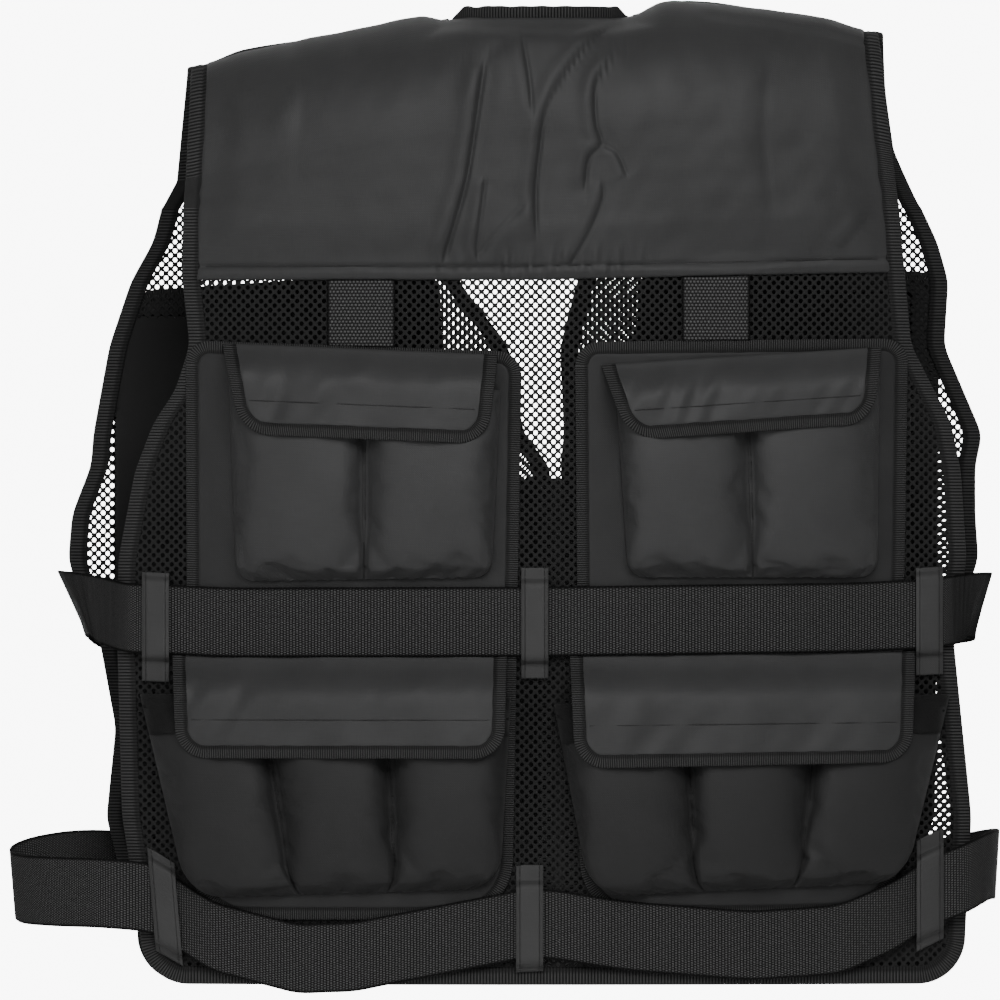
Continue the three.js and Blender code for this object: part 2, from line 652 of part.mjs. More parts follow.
// The tapes of the back panels are pieces of their own; the front panels are plain
function panel(row) {
  const taped = row.name.startsWith("back");
  const flat = () => PANEL_OFF;
  const edge = taped ? PANEL_TAPE + SEAM : 0;
  const inset = { top: edge, foot: edge, side: edge };
  roundedCore(row.name + "_panel", row, inset, PANEL_TOP, PANEL_FOOT, [110, 210], 9, flat, CLOTH, NYLON);
  if (taped) {
    roundTape(row.name + "_panel_tape", row, PANEL_TAPE, PANEL_TOP, PANEL_FOOT, true, flat, 0, CLOTH, 7);
  }
}

// A filled pocket: channels side by side, each with a soft weight in it
function pocket(name, row, channels, fill, corner, colour) {
  const f = framed(row);
  const across = [];
  for (let c = 0; c < channels; c += 1) {
    for (const step of CHANNEL.slice(c === 0 ? 0 : 1)) {
      across.push({ share: (c + step.share) / channels, out: step.out });
    }
  }
  const at = (i, j, face) => {
    const b = POCKET_DOWN[i].share * f.tall;
    const cut = rounding(f.tall - b, corner);
    const a = mix(cut, f.width - cut, across[j].share);
    const out = 1.5 + fill * across[j].out * POCKET_DOWN[i].out;
    return f.place(a, b, POCKET_OFF + (face === 1 ? out : 0));
  };
  wall(name, POCKET_DOWN.length, across.length, at, colour, 0.5);
  return { f, across };
}

// Fastening strip on the mouth of a lower pocket: it follows the channels
function mouthStrip(name, row, channels, fill) {
  const f = framed(row);
  const across = [];
  for (let c = 0; c < channels; c += 1) {
    for (const step of CHANNEL.slice(c === 0 ? 0 : 1)) {
      across.push({ share: (c + step.share) / channels, out: step.out });
    }
  }
  const downs = [1, POCKET_DOWN[1].share * f.tall, STRIP_TALL];
  const at = (i, j, face) => {
    const b = downs[i];
    const out = 1.5 + fill * across[j].out * read(POCKET_DOWN, "share", "out", b / f.tall);
    return f.place(across[j].share * f.width, b, POCKET_OFF + out + 0.7 + face);
  };
  wall(name, downs.length, across.length, at, NET_BLACK, 0.95);
}

function flap(name, row, clear) {
  const height = (b) => POCKET_OFF + clear * read(FLAP_RISE, "from", "rise", b);
  const taped = row.name.startsWith("back");
  const edge = taped ? FLAP_TAPE + SEAM : 0;
  const inset = { top: 0, foot: edge, side: edge };
  roundedCore(name, row, inset, 0, 20, [7, 16, 24], 7, height, CLOTH, NYLON);
  if (taped) {
    roundTape(name + "_tape", row, FLAP_TAPE, 0, 20, false, height, -0.4, CLOTH + 0.4, 5);
  }
}

// Belt stations: the middle line, its outward direction, the width leaning with it
function beltLine(left, right, sag, lap) {
  const line = [];
  const limitLeft = left[0].across;
  const front = (from, to, off, count) => {
    for (const x of columns(from, to, count)) {
      line.push({ x: x, y: depth(x) + off, d: read(sag, "across", "front", x / HALF) * LENGTH, lean: 0 });
    }
  };
  const edge = (row) => line.push({ x: row.across * HALF, y: row.out * HALF, d: row.down * LENGTH, lean: row.lean });
  const over = BELT_OFF + WEBBING_THICK + 0.6;
  front(lap, -1.05 * HALF, BELT_OFF, 14);
  [...left].reverse().forEach(edge);
  for (const x of columns((limitLeft + 0.09) * HALF, (right.at(-1).across - 0.09) * HALF, 21)) {
    line.push({ x: x, y: -(depth(x) + BELT_OFF), d: read(sag, "across", "back", x / HALF) * LENGTH, lean: 0 });
  }
  [...right].reverse().forEach(edge);
  front(1.05 * HALF, lap + 22, BELT_OFF, 8);
  front(lap + 6, -lap, over, 6);
  return line;
}

function belt(name, left, right, sag, lap) {
  const line = beltLine(left, right, sag, lap);
  const stations = line.map((p, k) => {
    const before = line[Math.max(0, k - 1)];
    const after = line[Math.min(line.length - 1, k + 1)];
    const tx = after.x - before.x;
    const ty = after.y - before.y;
    const t = Math.hypot(tx, ty);
    // the line runs round the vest so that the outside is on its right-hand side
    const nx = -ty / t;
    const ny = tx / t;
    const sign = nx * p.x + ny * p.y * 4 > 0 ? 1 : -1;
    const wz = 1 / Math.hypot(1, p.lean);
    const wo = p.lean * wz;
    const half = WEBBING / 2;
    const corner = (up, out) => [
      p.x + sign * nx * (up * half * wo + out),
      p.y + sign * ny * (up * half * wo + out),
      -p.d + up * half * wz,
    ];
    return [corner(-1, 0), corner(1, 0), corner(1, WEBBING_THICK), corner(-1, WEBBING_THICK)];
  });
  strip(name, stations, false, WEB_BLACK, 0.8);
}

// Keeper: sewn to the vest above and below the belt, and carried over it
function keeper(row) {
  const sag = row.belt === "waist" ? WAIST_SAG : HEM_SAG;
  const column = row.side < 0 ? "back" : "front";
  const x = row.across * HALF;
  const xs = [x - KEEPER_HALF, x + KEEPER_HALF];
  const half = WEBBING / 2;
  const reach = row.belt === "hem" ? 3 : 2.5;
  const over = OVER_BELT + (row.belt === "hem" ? 1.8 : 0.8);
  const path = [
    { d: -half - row.above - reach, off: PANEL_OFF },
    { d: -half - reach - 1.5, off: PANEL_OFF },
    { d: -half - reach + 1, off: over },
    { d: half + reach - 1, off: over },
    { d: half + reach + 1.5, off: PANEL_OFF },
    { d: half + row.below + reach, off: PANEL_OFF },
  ];
  const stations = path.map((p, k) => {
    const before = path[Math.max(0, k - 1)];
    const after = path[Math.min(path.length - 1, k + 1)];
    const td = after.d - before.d;
    const to = after.off - before.off;
    const t = Math.hypot(td, to);
    const nd = (-to / t) * CLOTH;
    const no = (td / t) * CLOTH;
    const point = (k2, out) => {
      const middle = read(sag, "across", column, xs[k2] / HALF) * LENGTH;
      const shift = (row.lean ?? 0) * p.d;
      return skin(row.side, xs[k2] + shift, middle + p.d + out * nd, p.off + out * no);
    };
    return [point(0, 0), point(1, 0), point(1, 1), point(0, 1)];
  });
  strip(row.name, stations, false, NYLON_DARK, 0.6);
}

// Webbing tab from the foot of the yoke to the head of a pocket panel
function tab(name, across, panelRow) {
  const x = across * HALF;
  const u = (across - panelRow.lt) / (panelRow.rt - panelRow.lt);
  const foot = mix(panelRow.hl, panelRow.hr, u) * LENGTH;
  const at = (i, j, face) => {
    const px = x + (j - 1) * TAB_HALF;
    const head = yokeFoot(-1, px) + SEAM;
    const share = (px / HALF - panelRow.lt) / (panelRow.rt - panelRow.lt);
    const d = i === 0 ? head : mix(panelRow.hl, panelRow.hr, share) * LENGTH - SEAM;
    return skin(-1, px, Math.min(d, foot + 4), PANEL_OFF + face * WEBBING_THICK);
  };
  wall(name, 2, 3, at, WEB_BLACK, 0.8);
}

// Plain closure down the front, over the two front edges
function placket() {
  const rows = columns(0.475, 0.975, 6);
  const at = (i, j, face) => skin(1, mix(-0.02, 0.13, j) * HALF, rows[i] * LENGTH, PANEL_OFF + 0.3 + face * CLOTH);
  wall("front_closure", rows.length, 2, at, NYLON_DARK, 0.7);
}

backYoke();
frontYoke("front_yoke_left", "left", "innerLeft");
frontYoke("front_yoke_right", "right", "innerRight");
backNet();
frontNet("front_net_left", "left", "innerLeft");
frontNet("front_net_right", "right", "innerRight");
backTape();
frontTape("front_edge_tape_left", "left", "innerLeft");
frontTape("front_edge_tape_right", "right", "innerRight");
neckTape();
placket();
tab("back_tab_left", -0.518, PANELS[0]);
tab("back_tab_right", 0.51, PANELS[1]);
PANELS.forEach(panel);
UPPER_POCKETS.forEach((row) => pocket(row.name + "_upper_pocket", row, 2, UPPER_FILL, 12, NYLON));
LOWER_POCKETS.forEach((row) => pocket(row.name + "_lower_pocket", row, 3, LOWER_FILL, 24, NYLON_DARK));
UPPER_FLAPS.forEach((row) => flap(row.name + "_upper_flap", row, UPPER_FILL + 3));
LOWER_FLAPS.forEach((row) => flap(row.name + "_lower_flap", row, LOWER_FILL + 5));
mouthStrip("back_left_mouth_strip", LOWER_POCKETS[0], 3, LOWER_FILL);
mouthStrip("back_right_mouth_strip", LOWER_POCKETS[1], 3, LOWER_FILL);
belt("waist_belt", WAIST_LEFT, WAIST_RIGHT, WAIST_SAG, BELT_LAP);
belt("hem_belt", HEM_LEFT, HEM_RIGHT, HEM_SAG, BELT_LAP);
KEEPERS.forEach(keeper);

export default vest;
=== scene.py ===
# %% [markdown]
# # A weighted vest, seen from the back
# This script gives a plain CAD part its looks: cloth, net, tape, webbing and thread.
# It is written as a lesson. Each step says in words what it does, and then prints what it made.
# Lengths are in metres, +Z is up and the back of the vest faces -Y, towards the camera.

import math

import bpy
import numpy as np
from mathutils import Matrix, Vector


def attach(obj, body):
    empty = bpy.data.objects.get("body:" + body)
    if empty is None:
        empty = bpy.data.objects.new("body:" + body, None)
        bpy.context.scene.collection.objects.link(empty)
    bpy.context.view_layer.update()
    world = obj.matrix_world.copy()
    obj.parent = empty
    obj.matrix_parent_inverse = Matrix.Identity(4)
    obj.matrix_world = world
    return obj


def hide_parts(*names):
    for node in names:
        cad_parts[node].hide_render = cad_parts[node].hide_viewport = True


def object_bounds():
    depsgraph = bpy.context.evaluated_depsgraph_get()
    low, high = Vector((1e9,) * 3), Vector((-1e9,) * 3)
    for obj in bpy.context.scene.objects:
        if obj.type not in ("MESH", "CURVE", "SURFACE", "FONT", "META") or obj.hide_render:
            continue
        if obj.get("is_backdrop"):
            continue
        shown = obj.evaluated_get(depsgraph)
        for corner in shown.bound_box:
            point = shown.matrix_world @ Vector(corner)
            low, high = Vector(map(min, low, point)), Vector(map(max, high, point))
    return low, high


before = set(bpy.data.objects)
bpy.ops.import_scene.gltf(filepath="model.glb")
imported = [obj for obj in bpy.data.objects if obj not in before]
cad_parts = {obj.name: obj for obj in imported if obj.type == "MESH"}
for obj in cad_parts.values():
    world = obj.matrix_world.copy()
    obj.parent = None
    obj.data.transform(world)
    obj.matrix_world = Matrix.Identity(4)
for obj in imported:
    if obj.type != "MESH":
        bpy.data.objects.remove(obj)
cad_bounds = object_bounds()

HALF = 0.228  # half the width across the shoulders
LENGTH = 0.650  # shoulders to hem
DEPTH = 0.088  # middle of the vest to the back net, and to the front net
ROUNDING = 0.754  # how fast the net comes back towards both sides, times x squared
CAP = 0.070  # height of the curve over the shoulder
RIDGE_FADE = 0.060  # height below it over which the ups and downs of the shoulder line fade
NECK_HALF = 0.061  # half the width of the neckline
NECK_REACH = 0.050  # how far it reaches towards the back
NECK_STEPS = np.linspace(-0.014, 0.014, 7)  # steps across over which its edge is smoothed
TAPE = 0.012  # width of the edge tape
PANEL_TAPE = 0.009  # width of the tape round panels and flaps
SEAM = 0.0005  # gap between the front yokes and their tape
CLOTH = 0.0015  # thickness of a layer of cloth
UNDER_TAPE = 0.003  # how far the net runs on under the tape
# How far off the net these lie: panels, pockets, belts and the loops over the belts
PANEL_OFF = 0.00195
POCKET_OFF = 0.0039
BELT_OFF = 0.0047
OVER_BELT = 0.00715
PAD = 0.006  # thickness of the padded yoke
WEBBING = 0.046  # width of the belts
TAB_HALF = 0.0225  # half the width of the webbing tabs
KEEPER_HALF = 0.009  # half the width of a keeper
UPPER_FILL = 0.020  # thickness of a filled upper pocket, and of a lower one
LOWER_FILL = 0.022
ARCH_POWER = 0.25  # how square a channel is: 1 is a sine, 0 a box
MOUTH = 0.027  # height of the fastening strip at a pocket's mouth
YOKE_FOOT = 0.274  # foot of the yoke at the back and the front, as shares of LENGTH
FRONT_YOKE_FOOT = 0.193
HEM = 0.99  # the hem, as a share of LENGTH
HEM_ROUND = 0.032  # radius of the lower corners
PX = 0.00066  # one thousandth of the picture's width, on the vest
print("frame:", len(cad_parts), "CAD nodes")

# %% [markdown]
# ## Tables
# The vest is described by short tables of shares: across is a share of HALF, down is a share of LENGTH.
# Reading between two rows gives every edge, and each row is easy to change on its own.

# %% Tables of edges
RIDGE = np.array([
    (-1.03, -0.064), (-0.99, -0.06), (-0.695, -0.039), (-0.287, -0.015), (-0.232, -0.011), (0.249, -0.011),
    (0.289, -0.007), (0.391, -0.001), (0.521, -0.004), (0.753, -0.014), (0.993, -0.027), (1.06, -0.033),
])
# Rows: down, left edge, right edge; the front also has the inner edges of its left and right half
BACK_EDGE = np.array([
    (0, 1.013, 0.984), (0.053, 1.019, 1.002), (0.112, 1.028, 1.019), (0.269, 1.039, 1.059),
    (0.34, 1.016, 1.077), (0.387, 1.059, 1.146), (0.418, 1.12, 1.193), (0.468, 1.175, 1.222),
    (0.558, 1.224, 1.239), (0.64, 1.227, 1.201), (0.819, 1.213, 1.253), (0.941, 1.158, 1.235),
])
FRONT_EDGE = np.array([
    (0, 1.025, 0.999, -0.262, 0.266), (0.053, 1.042, 1.007, -0.266, 0.266),
    (0.112, 1.059, 1.033, -0.272, 0.266), (0.193, 1.097, 1.103, -0.262, 0.235),
    (0.234, 1.126, 1.158, -0.256, 0.17), (0.274, 1.19, 1.19, -0.235, 0.108),
    (0.34, 1.253, 1.178, -0.09, 0.06), (0.431, 1.3, 1.288, -0.045, 0.07),
    (0.462, 1.306, 1.268, 0.03, 0.06), (0.512, 1.361, 1.268, 0.035, 0.075),
    (0.558, 1.372, 1.277, 0.035, 0.075), (0.599, 1.337, 1.235, 0.035, 0.075),
    (0.64, 1.282, 1.201, 0.035, 0.075), (0.73, 1.235, 1.215, 0.035, 0.075),
    (0.822, 1.262, 1.251, 0.035, 0.075), (0.941, 1.17, 1.22, 0.035, 0.075),
])
# Four-cornered pieces: left edge at head and foot, right edge at head and foot,
# head at left and right, foot at left and right
PANELS = {
    "back_left": (-1.028, -1.02, -0.052, -0.081, 0.335, 0.347, 0.924, 0.924),
    "back_right": (0.101, 0.116, 1.068, 1.042, 0.337, 0.333, 0.924, 0.92),
    "front_left": (-1.19, -1.19, -0.29, -0.269, 0.284, 0.262, 0.871, 0.875),
    "front_right": (0.29, 0.217, 1.165, 1.15, 0.262, 0.264, 0.875, 0.871),
}
UPPER_POCKETS = {
    "back_left": (-0.903, -0.88, -0.115, -0.14, 0.372, 0.386, 0.58, 0.576),
    "back_right": (0.22, 0.255, 0.984, 0.978, 0.386, 0.372, 0.576, 0.576),
    "front_left": (-1.1, -1.09, -0.345, -0.355, 0.323, 0.327, 0.572, 0.572),
    "front_right": (0.355, 0.345, 1.05, 1.05, 0.305, 0.301, 0.572, 0.572),
}
UPPER_FLAPS = {
    "back_left": (-0.921, -0.868, -0.122, -0.151, 0.338, 0.35, 0.431, 0.441),
    "back_right": (0.177, 0.255, 0.99, 0.967, 0.36, 0.342, 0.437, 0.42),
    "front_left": (-1.11, -1.1, -0.34, -0.345, 0.295, 0.299, 0.386, 0.39),
    "front_right": (0.345, 0.335, 1.06, 1.06, 0.28, 0.276, 0.37, 0.366),
}
LOWER_POCKETS = {
    "back_left": (-1.161, -1.022, -0.084, -0.116, 0.695, 0.698, 0.902, 0.892),
    "back_right": (0.04, 0.145, 1.19, 1.059, 0.705, 0.695, 0.9, 0.886),
    "front_left": (-1.2, -1.19, -0.29, -0.31, 0.695, 0.698, 0.832, 0.85),
    "front_right": (0.24, 0.26, 1.17, 1.14, 0.698, 0.695, 0.85, 0.85),
}
LOWER_FLAPS = {
    "back_left": (-1.065, -1.054, -0.096, -0.104, 0.662, 0.662, 0.76, 0.76),
    "back_right": (0.087, 0.101, 1.088, 1.077, 0.662, 0.662, 0.77, 0.764),
    "front_left": (-1.17, -1.165, -0.28, -0.285, 0.662, 0.662, 0.753, 0.755),
    "front_right": (0.23, 0.235, 1.14, 1.135, 0.662, 0.662, 0.755, 0.753),
}
print("tables:", len(BACK_EDGE) + len(FRONT_EDGE), "rows of edges")

# %% Tables of belts
# Bows from the back to the front: across, out, down, lean
WAIST_LEFT = np.array([
    (-1.2, -0.16, 0.617, 0), (-1.29, -0.125, 0.608, 0.2), (-1.34, -0.04, 0.602, 0.45),
    (-1.35, 0.05, 0.602, 0.45), (-1.325, 0.125, 0.607, 0.3), (-1.23, 0.17, 0.617, 0),
])
WAIST_RIGHT = np.array([
    (1.19, 0.164, 0.61, 0), (1.275, 0.14, 0.606, 0.2), (1.262, 0.05, 0.605, 0.45),
    (1.262, -0.05, 0.605, 0.45), (1.25, -0.135, 0.606, 0.25), (1.19, -0.164, 0.61, 0),
])
HEM_LEFT = np.array([
    (-1.12, -0.192, 0.904, 0), (-1.26, -0.17, 0.898, 0), (-1.42, -0.13, 0.896, 0.05),
    (-1.51, -0.06, 0.893, 0.1), (-1.52, 0, 0.885, 0.1), (-1.46, 0.06, 0.876, 0.1),
    (-1.34, 0.13, 0.87, 0.05), (-1.2, 0.195, 0.872, 0),
])
HEM_RIGHT = np.array([
    (1.15, 0.18, 0.88, 0), (1.255, 0.16, 0.872, 0), (1.31, 0.08, 0.868, 0.05), (1.32, 0, 0.869, 0.05),
    (1.3, -0.1, 0.87, 0.05), (1.235, -0.165, 0.882, 0), (1.12, -0.192, 0.899, 0),
])
# Belts on the back and the front: across, down at the back, down at the front
WAIST_SAG = np.array([
    (-1.2, 0.617, 0.617), (-0.9, 0.622, 0.62), (0, 0.621, 0.622), (0.9, 0.617, 0.618), (1.2, 0.612, 0.612),
])
HEM_SAG = np.array([
    (-1.26, 0.898, 0.87), (-1.12, 0.904, 0.874), (-0.94, 0.942, 0.9), (-0.71, 0.963, 0.92),
    (-0.55, 0.962, 0.93), (-0.3, 0.945, 0.94), (-0.05, 0.928, 0.945), (0.03, 0.928, 0.945),
    (0.25, 0.94, 0.94), (0.6, 0.95, 0.93), (0.85, 0.945, 0.91), (1, 0.925, 0.895),
    (1.12, 0.899, 0.882), (1.235, 0.882, 0.874),
])
# Keepers: across, belt, how far they reach above and below it, slant
KEEPERS = {
    "back_waist_keeper_left": (-1.115, "waist", 0.005, 0.016, 0.0),
    "back_waist_keeper_middle": (-0.015, "waist", 0.010, 0.012, 0.0),
    "back_waist_keeper_right": (1.13, "waist", 0.005, 0.015, 0.0),
    "back_hem_keeper_left": (-1.087, "hem", 0.008, 0.008, 0.085),
    "back_hem_keeper_middle": (-0.03, "hem", 0.013, 0.005, 0.0),
    "back_hem_keeper_right": (1.132, "hem", 0.013, 0.008, 0.0),
}
print("belts:", len(WAIST_SAG) + len(HEM_SAG), "rows of sag,", len(KEEPERS), "keepers")

# %% [markdown]
# ## The surface that everything lies on
# One function turns a place on the vest into a point in space: how far across, how far down from the
# shoulder line, and how far off the net. It works on whole arrays, so a grid of points is one call.

# %% Surface functions
def mix(a, b, t):
    """Straight way from a to b: a plus t times their difference."""
    return a + (b - a) * t


def ease(t):
    """Smooth step: three t squared less two t cubed, between 0 and 1."""
    t = np.clip(t, 0, 1)
    return t * t * (3 - 2 * t)


def read(table, column, at):
    """Value of a column of the table, read on a straight line between rows."""
    return np.interp(at, table[:, 0], table[:, column])


def ridge(x):
    """Height of the shoulder line: the table, with its corners smoothed over 12 mm."""
    return sum(read(RIDGE, 1, (x + step) / HALF) for step in (-0.006, 0, 0.006)) / 3 * LENGTH


def depth(x):
    """Distance of the net from the middle plane: DEPTH less ROUNDING times x squared."""
    return DEPTH - ROUNDING * x * x


def skin(side, x, d, off=0.0):
    """Point on the vest. Below CAP it hangs straight; above, a quarter ellipse takes it over the shoulder.
    off moves it out along the ellipse's own outward direction."""
    x, d, off = (np.asarray(v, float) for v in np.broadcast_arrays(x, d, off))
    c = np.clip(1 - d / CAP, 0, 1)
    s = np.sqrt(1 - c * c)
    arcs = (np.sqrt(np.clip(1 - ((x + step) / NECK_HALF) ** 2, 0, 1)) for step in NECK_STEPS)
    dip = sum(arcs) / len(NECK_STEPS) * NECK_REACH if side < 0 else 0.0
    run = depth(x) - dip
    ny, nz = s / run, c / CAP
    n = np.hypot(ny, nz)
    fade = np.clip(1 - (d - CAP) / RIDGE_FADE, 0, 1)
    y = dip + run * s + off * ny / n
    z = ridge(x) * fade - d + off * nz / n
    return np.stack([x, side * y, z], -1)


def waves(x, y, size, seed, count=9):
    """Soft random height between about -1 and 1: sine waves of about one size, each turned its own way."""
    draw = np.random.default_rng(seed)
    turn = draw.uniform(0, math.tau, count)
    rate = math.tau / (size * draw.uniform(0.7, 1.6, count))
    phase = draw.uniform(0, math.tau, count)
    total = 0.0
    for k in range(count):
        total = total + np.sin(rate[k] * (x * np.cos(turn[k]) + y * np.sin(turn[k])) + phase[k])
    return total / math.sqrt(count)


def spread(start, end, step, fine=0.004, edge=4):
    """Positions from start to end, closer together near both ends so that an edge can be rounded."""
    near = fine * (1 - np.cos(np.linspace(0, math.pi / 2, edge + 1)))
    inner = np.linspace(start + fine, end - fine, max(2, int((end - start) / step) + 1))
    return np.concatenate([start + near[:-1], inner, end - near[:-1][::-1]])


def rounded(distance, radius):
    """Rise of a rounded edge: 0 at the edge, 1 from radius inwards, along a quarter circle."""
    t = np.clip(1 - distance / radius, 0, 1)
    return np.sqrt(1 - t * t)


def thinned(distance, radius, least):
    """Share of the full thickness: least at the edge, 1 from radius inwards."""
    return least + (1 - least) * rounded(distance, radius)


def smoothed(values, times):
    """Each inner value becomes half of itself and a quarter of both neighbours, so many times."""
    for _ in range(times):
        values[1:-1] = (values[:-2] + 2 * values[1:-1] + values[2:]) / 4
    return values


def cap_rows(count):
    """Places down the curve over the shoulder: CAP times one less the cosine of even angles."""
    angle = np.linspace(0, math.pi / 2, count)[:-1]
    return np.maximum(CAP * (1 - np.cos(angle)), 1e-6)


print("surface: the origin of the back is", np.round(skin(-1, 0.1, 0.3), 4))

# %% [markdown]
# ## From grids to meshes
# A piece is a grid of points. A wall is a grid with a second one behind it and a rim round both;
# a sweep is a closed outline carried along a path. Both know their place on the cloth in metres,
# which is kept as UV so that the weave has its real size.

# %% Mesh functions
def cells(rows, cols, around=False):
    """Corner numbers of a grid's quads, row by row; around joins the last column to the first."""
    i, j = np.meshgrid(np.arange(rows - 1), np.arange(cols if around else cols - 1), indexing="ij")
    k = (j + 1) % cols
    return np.stack([i * cols + j, (i + 1) * cols + j, (i + 1) * cols + k, i * cols + k], -1).reshape(-1, 4)


def volume(points, faces):
    """Six times the volume inside: the sum of triple products of the quads' corners."""
    a, b, c, d = (points[faces[:, k]] for k in range(4))
    return float((a * np.cross(b, c)).sum() + (a * np.cross(c, d)).sum())


def make(name, points, faces, uv, material):
    """Mesh object from arrays. uv has a row for each point, or for each corner of each face."""
    mesh = bpy.data.meshes.new(name)
    mesh.from_pydata(points.reshape(-1, 3).tolist(), [], faces if isinstance(faces, list) else faces.tolist())
    corner = np.empty(len(mesh.loops), np.int32)
    mesh.loops.foreach_get("vertex_index", corner)
    layer = mesh.uv_layers.new(name="UVMap")
    uv = uv.reshape(-1, 2)
    layer.data.foreach_set("uv", (uv if len(uv) == len(corner) else uv[corner]).astype(np.float32).ravel())
    mesh.polygons.foreach_set("use_smooth", np.ones(len(mesh.polygons), bool))
    mesh.materials.append(material)
    obj = bpy.data.objects.new(name, mesh)
    bpy.context.collection.objects.link(obj)
    return obj


def wall(name, outer, inner, uv, material):
    """Closed sheet: the outer grid, the inner grid turned over, and quads round the rim."""
    rows, cols = outer.shape[:2]
    n = rows * cols
    top = np.arange(cols)
    right = np.arange(1, rows) * cols + cols - 1
    foot = (rows - 1) * cols + np.arange(cols - 2, -1, -1)
    left = np.arange(rows - 2, 0, -1) * cols
    rim = np.concatenate([top, right, foot, left])
    after = np.roll(rim, -1)
    face = cells(rows, cols)
    faces = np.concatenate([face, face[:, ::-1] + n, np.stack([rim, after, after + n, rim + n], -1)])
    points = np.concatenate([outer.reshape(-1, 3), inner.reshape(-1, 3)])
    if volume(points, faces) < 0:
        faces = faces[:, ::-1]
    return make(name, points, faces, np.concatenate([uv.reshape(-1, 2)] * 2), material)


def sweep(name, rings, uv, material, ring=False):
    """Closed tube through rings of points: a full ring is joined end to end, any other is capped."""
    count, around = rings.shape[:2]
    points = rings.reshape(-1, 3)
    long = count + 1 if ring else count
    wide = cells(long, around, around=True)
    if ring:
        turn = 2 * uv[-1, 0, 0] - uv[-2, 0, 0]
        uv = np.concatenate([uv, uv[:1] + [turn, 0.0]])
    flat = uv.reshape(-1, 2)
    faces = wide % len(points)
    flip = volume(points, faces) < 0
    if flip:
        faces, wide = faces[:, ::-1], wide[:, ::-1]
    value = flat[wide].reshape(-1, 2)
    faces = faces.tolist()
    if not ring:
        ends = [list(range(around)), [len(points) - 1 - k for k in range(around)]]
        ends = [end[::-1] for end in ends] if flip else ends
        faces += ends
        value = np.concatenate([value, flat[ends[0]], flat[ends[1]]])
    return make(name, points, faces, value, material)


def follow(points, step):
    """Same line with points every step: straight ways between them, measured along the line."""
    gone = np.concatenate([[0], np.cumsum(np.linalg.norm(np.diff(points, axis=0), axis=1))])
    at = np.linspace(0, gone[-1], max(2, int(round(gone[-1] / step)) + 1))
    return np.stack([np.interp(at, gone, points[:, k]) for k in range(points.shape[1])], -1), at


def curve(points, step):
    """Smooth line through the points: between two of them, a cubic whose ends aim at their neighbours."""
    before = np.concatenate([2 * points[:1] - points[1:2], points[:-1]])
    after = np.concatenate([points[1:], 2 * points[-1:] - points[-2:-1]])
    aim = (after - before) / 2
    t = np.linspace(0, 1, 12, endpoint=False)[:, None, None]
    a, b, ta, tb = points[:-1], points[1:], aim[:-1], aim[1:]
    rise, fall = 3 * t**2 - 2 * t**3, 2 * t**3 - 3 * t**2 + 1
    way = fall * a + (t**3 - 2 * t**2 + t) * ta + rise * b + (t**3 - t**2) * tb
    way = np.concatenate([way.transpose(1, 0, 2).reshape(-1, points.shape[1]), points[-1:]])
    return follow(way, step)


print("mesh functions: wall, sweep, follow, curve")

# %% [markdown]
# ## Materials
# Each finish is procedural: it reads the piece's UV, which is in metres, or its own place in space.
# What several finishes share sits in node groups that give out only a colour factor or a normal;
# the shader itself stays in the material, with its constants on its own sockets.

# %% Node helpers
def add(tree, kind, inputs=(), **settings):
    """New node with its settings; inputs pairs a socket's name or number with a value or another socket."""
    node = tree.nodes.new(kind)
    for key, value in settings.items():
        setattr(node, key, value)
    for key, value in dict(inputs).items():
        if isinstance(value, bpy.types.NodeSocket):
            tree.links.new(value, node.inputs[key])
        else:
            node.inputs[key].default_value = value
    return node


def calc(tree, operation, a, b=0.0, c=0.0):
    """Math node's output socket."""
    return add(tree, "ShaderNodeMath", {0: a, 1: b, 2: c}, operation=operation).outputs[0]


def group(name, inputs, outputs):
    """Empty node group with its sockets, given as name: (kind, default)."""
    tree = bpy.data.node_groups.new(name, "ShaderNodeTree")
    for key, (kind, value) in inputs.items():
        socket = tree.interface.new_socket(key, in_out="INPUT", socket_type="NodeSocket" + kind)
        if value is not None:
            socket.default_value = value
    for key, kind in outputs.items():
        tree.interface.new_socket(key, in_out="OUTPUT", socket_type="NodeSocket" + kind)
    return tree, tree.nodes.new("NodeGroupInput"), tree.nodes.new("NodeGroupOutput")


def bumped(tree, height, strength, distance, normal):
    """Bump between a height and a normal's socket."""
    bump = add(tree, "ShaderNodeBump", {"Height": height, "Strength": strength, "Distance": distance})
    tree.links.new(bump.outputs[0], normal)


def grey(value, tint=0.0):
    """Linear colour of a grey given on the 0 to 255 scale of a picture, a little blue with tint."""
    def channel(v):
        return (v / 255 / 12.92) if v <= 10 else ((v / 255 + 0.055) / 1.055) ** 2.4

    return (channel(value), channel(value + tint * 0.3), channel(value + tint), 1.0)


print("node helpers: add, calc, group, bumped, grey")

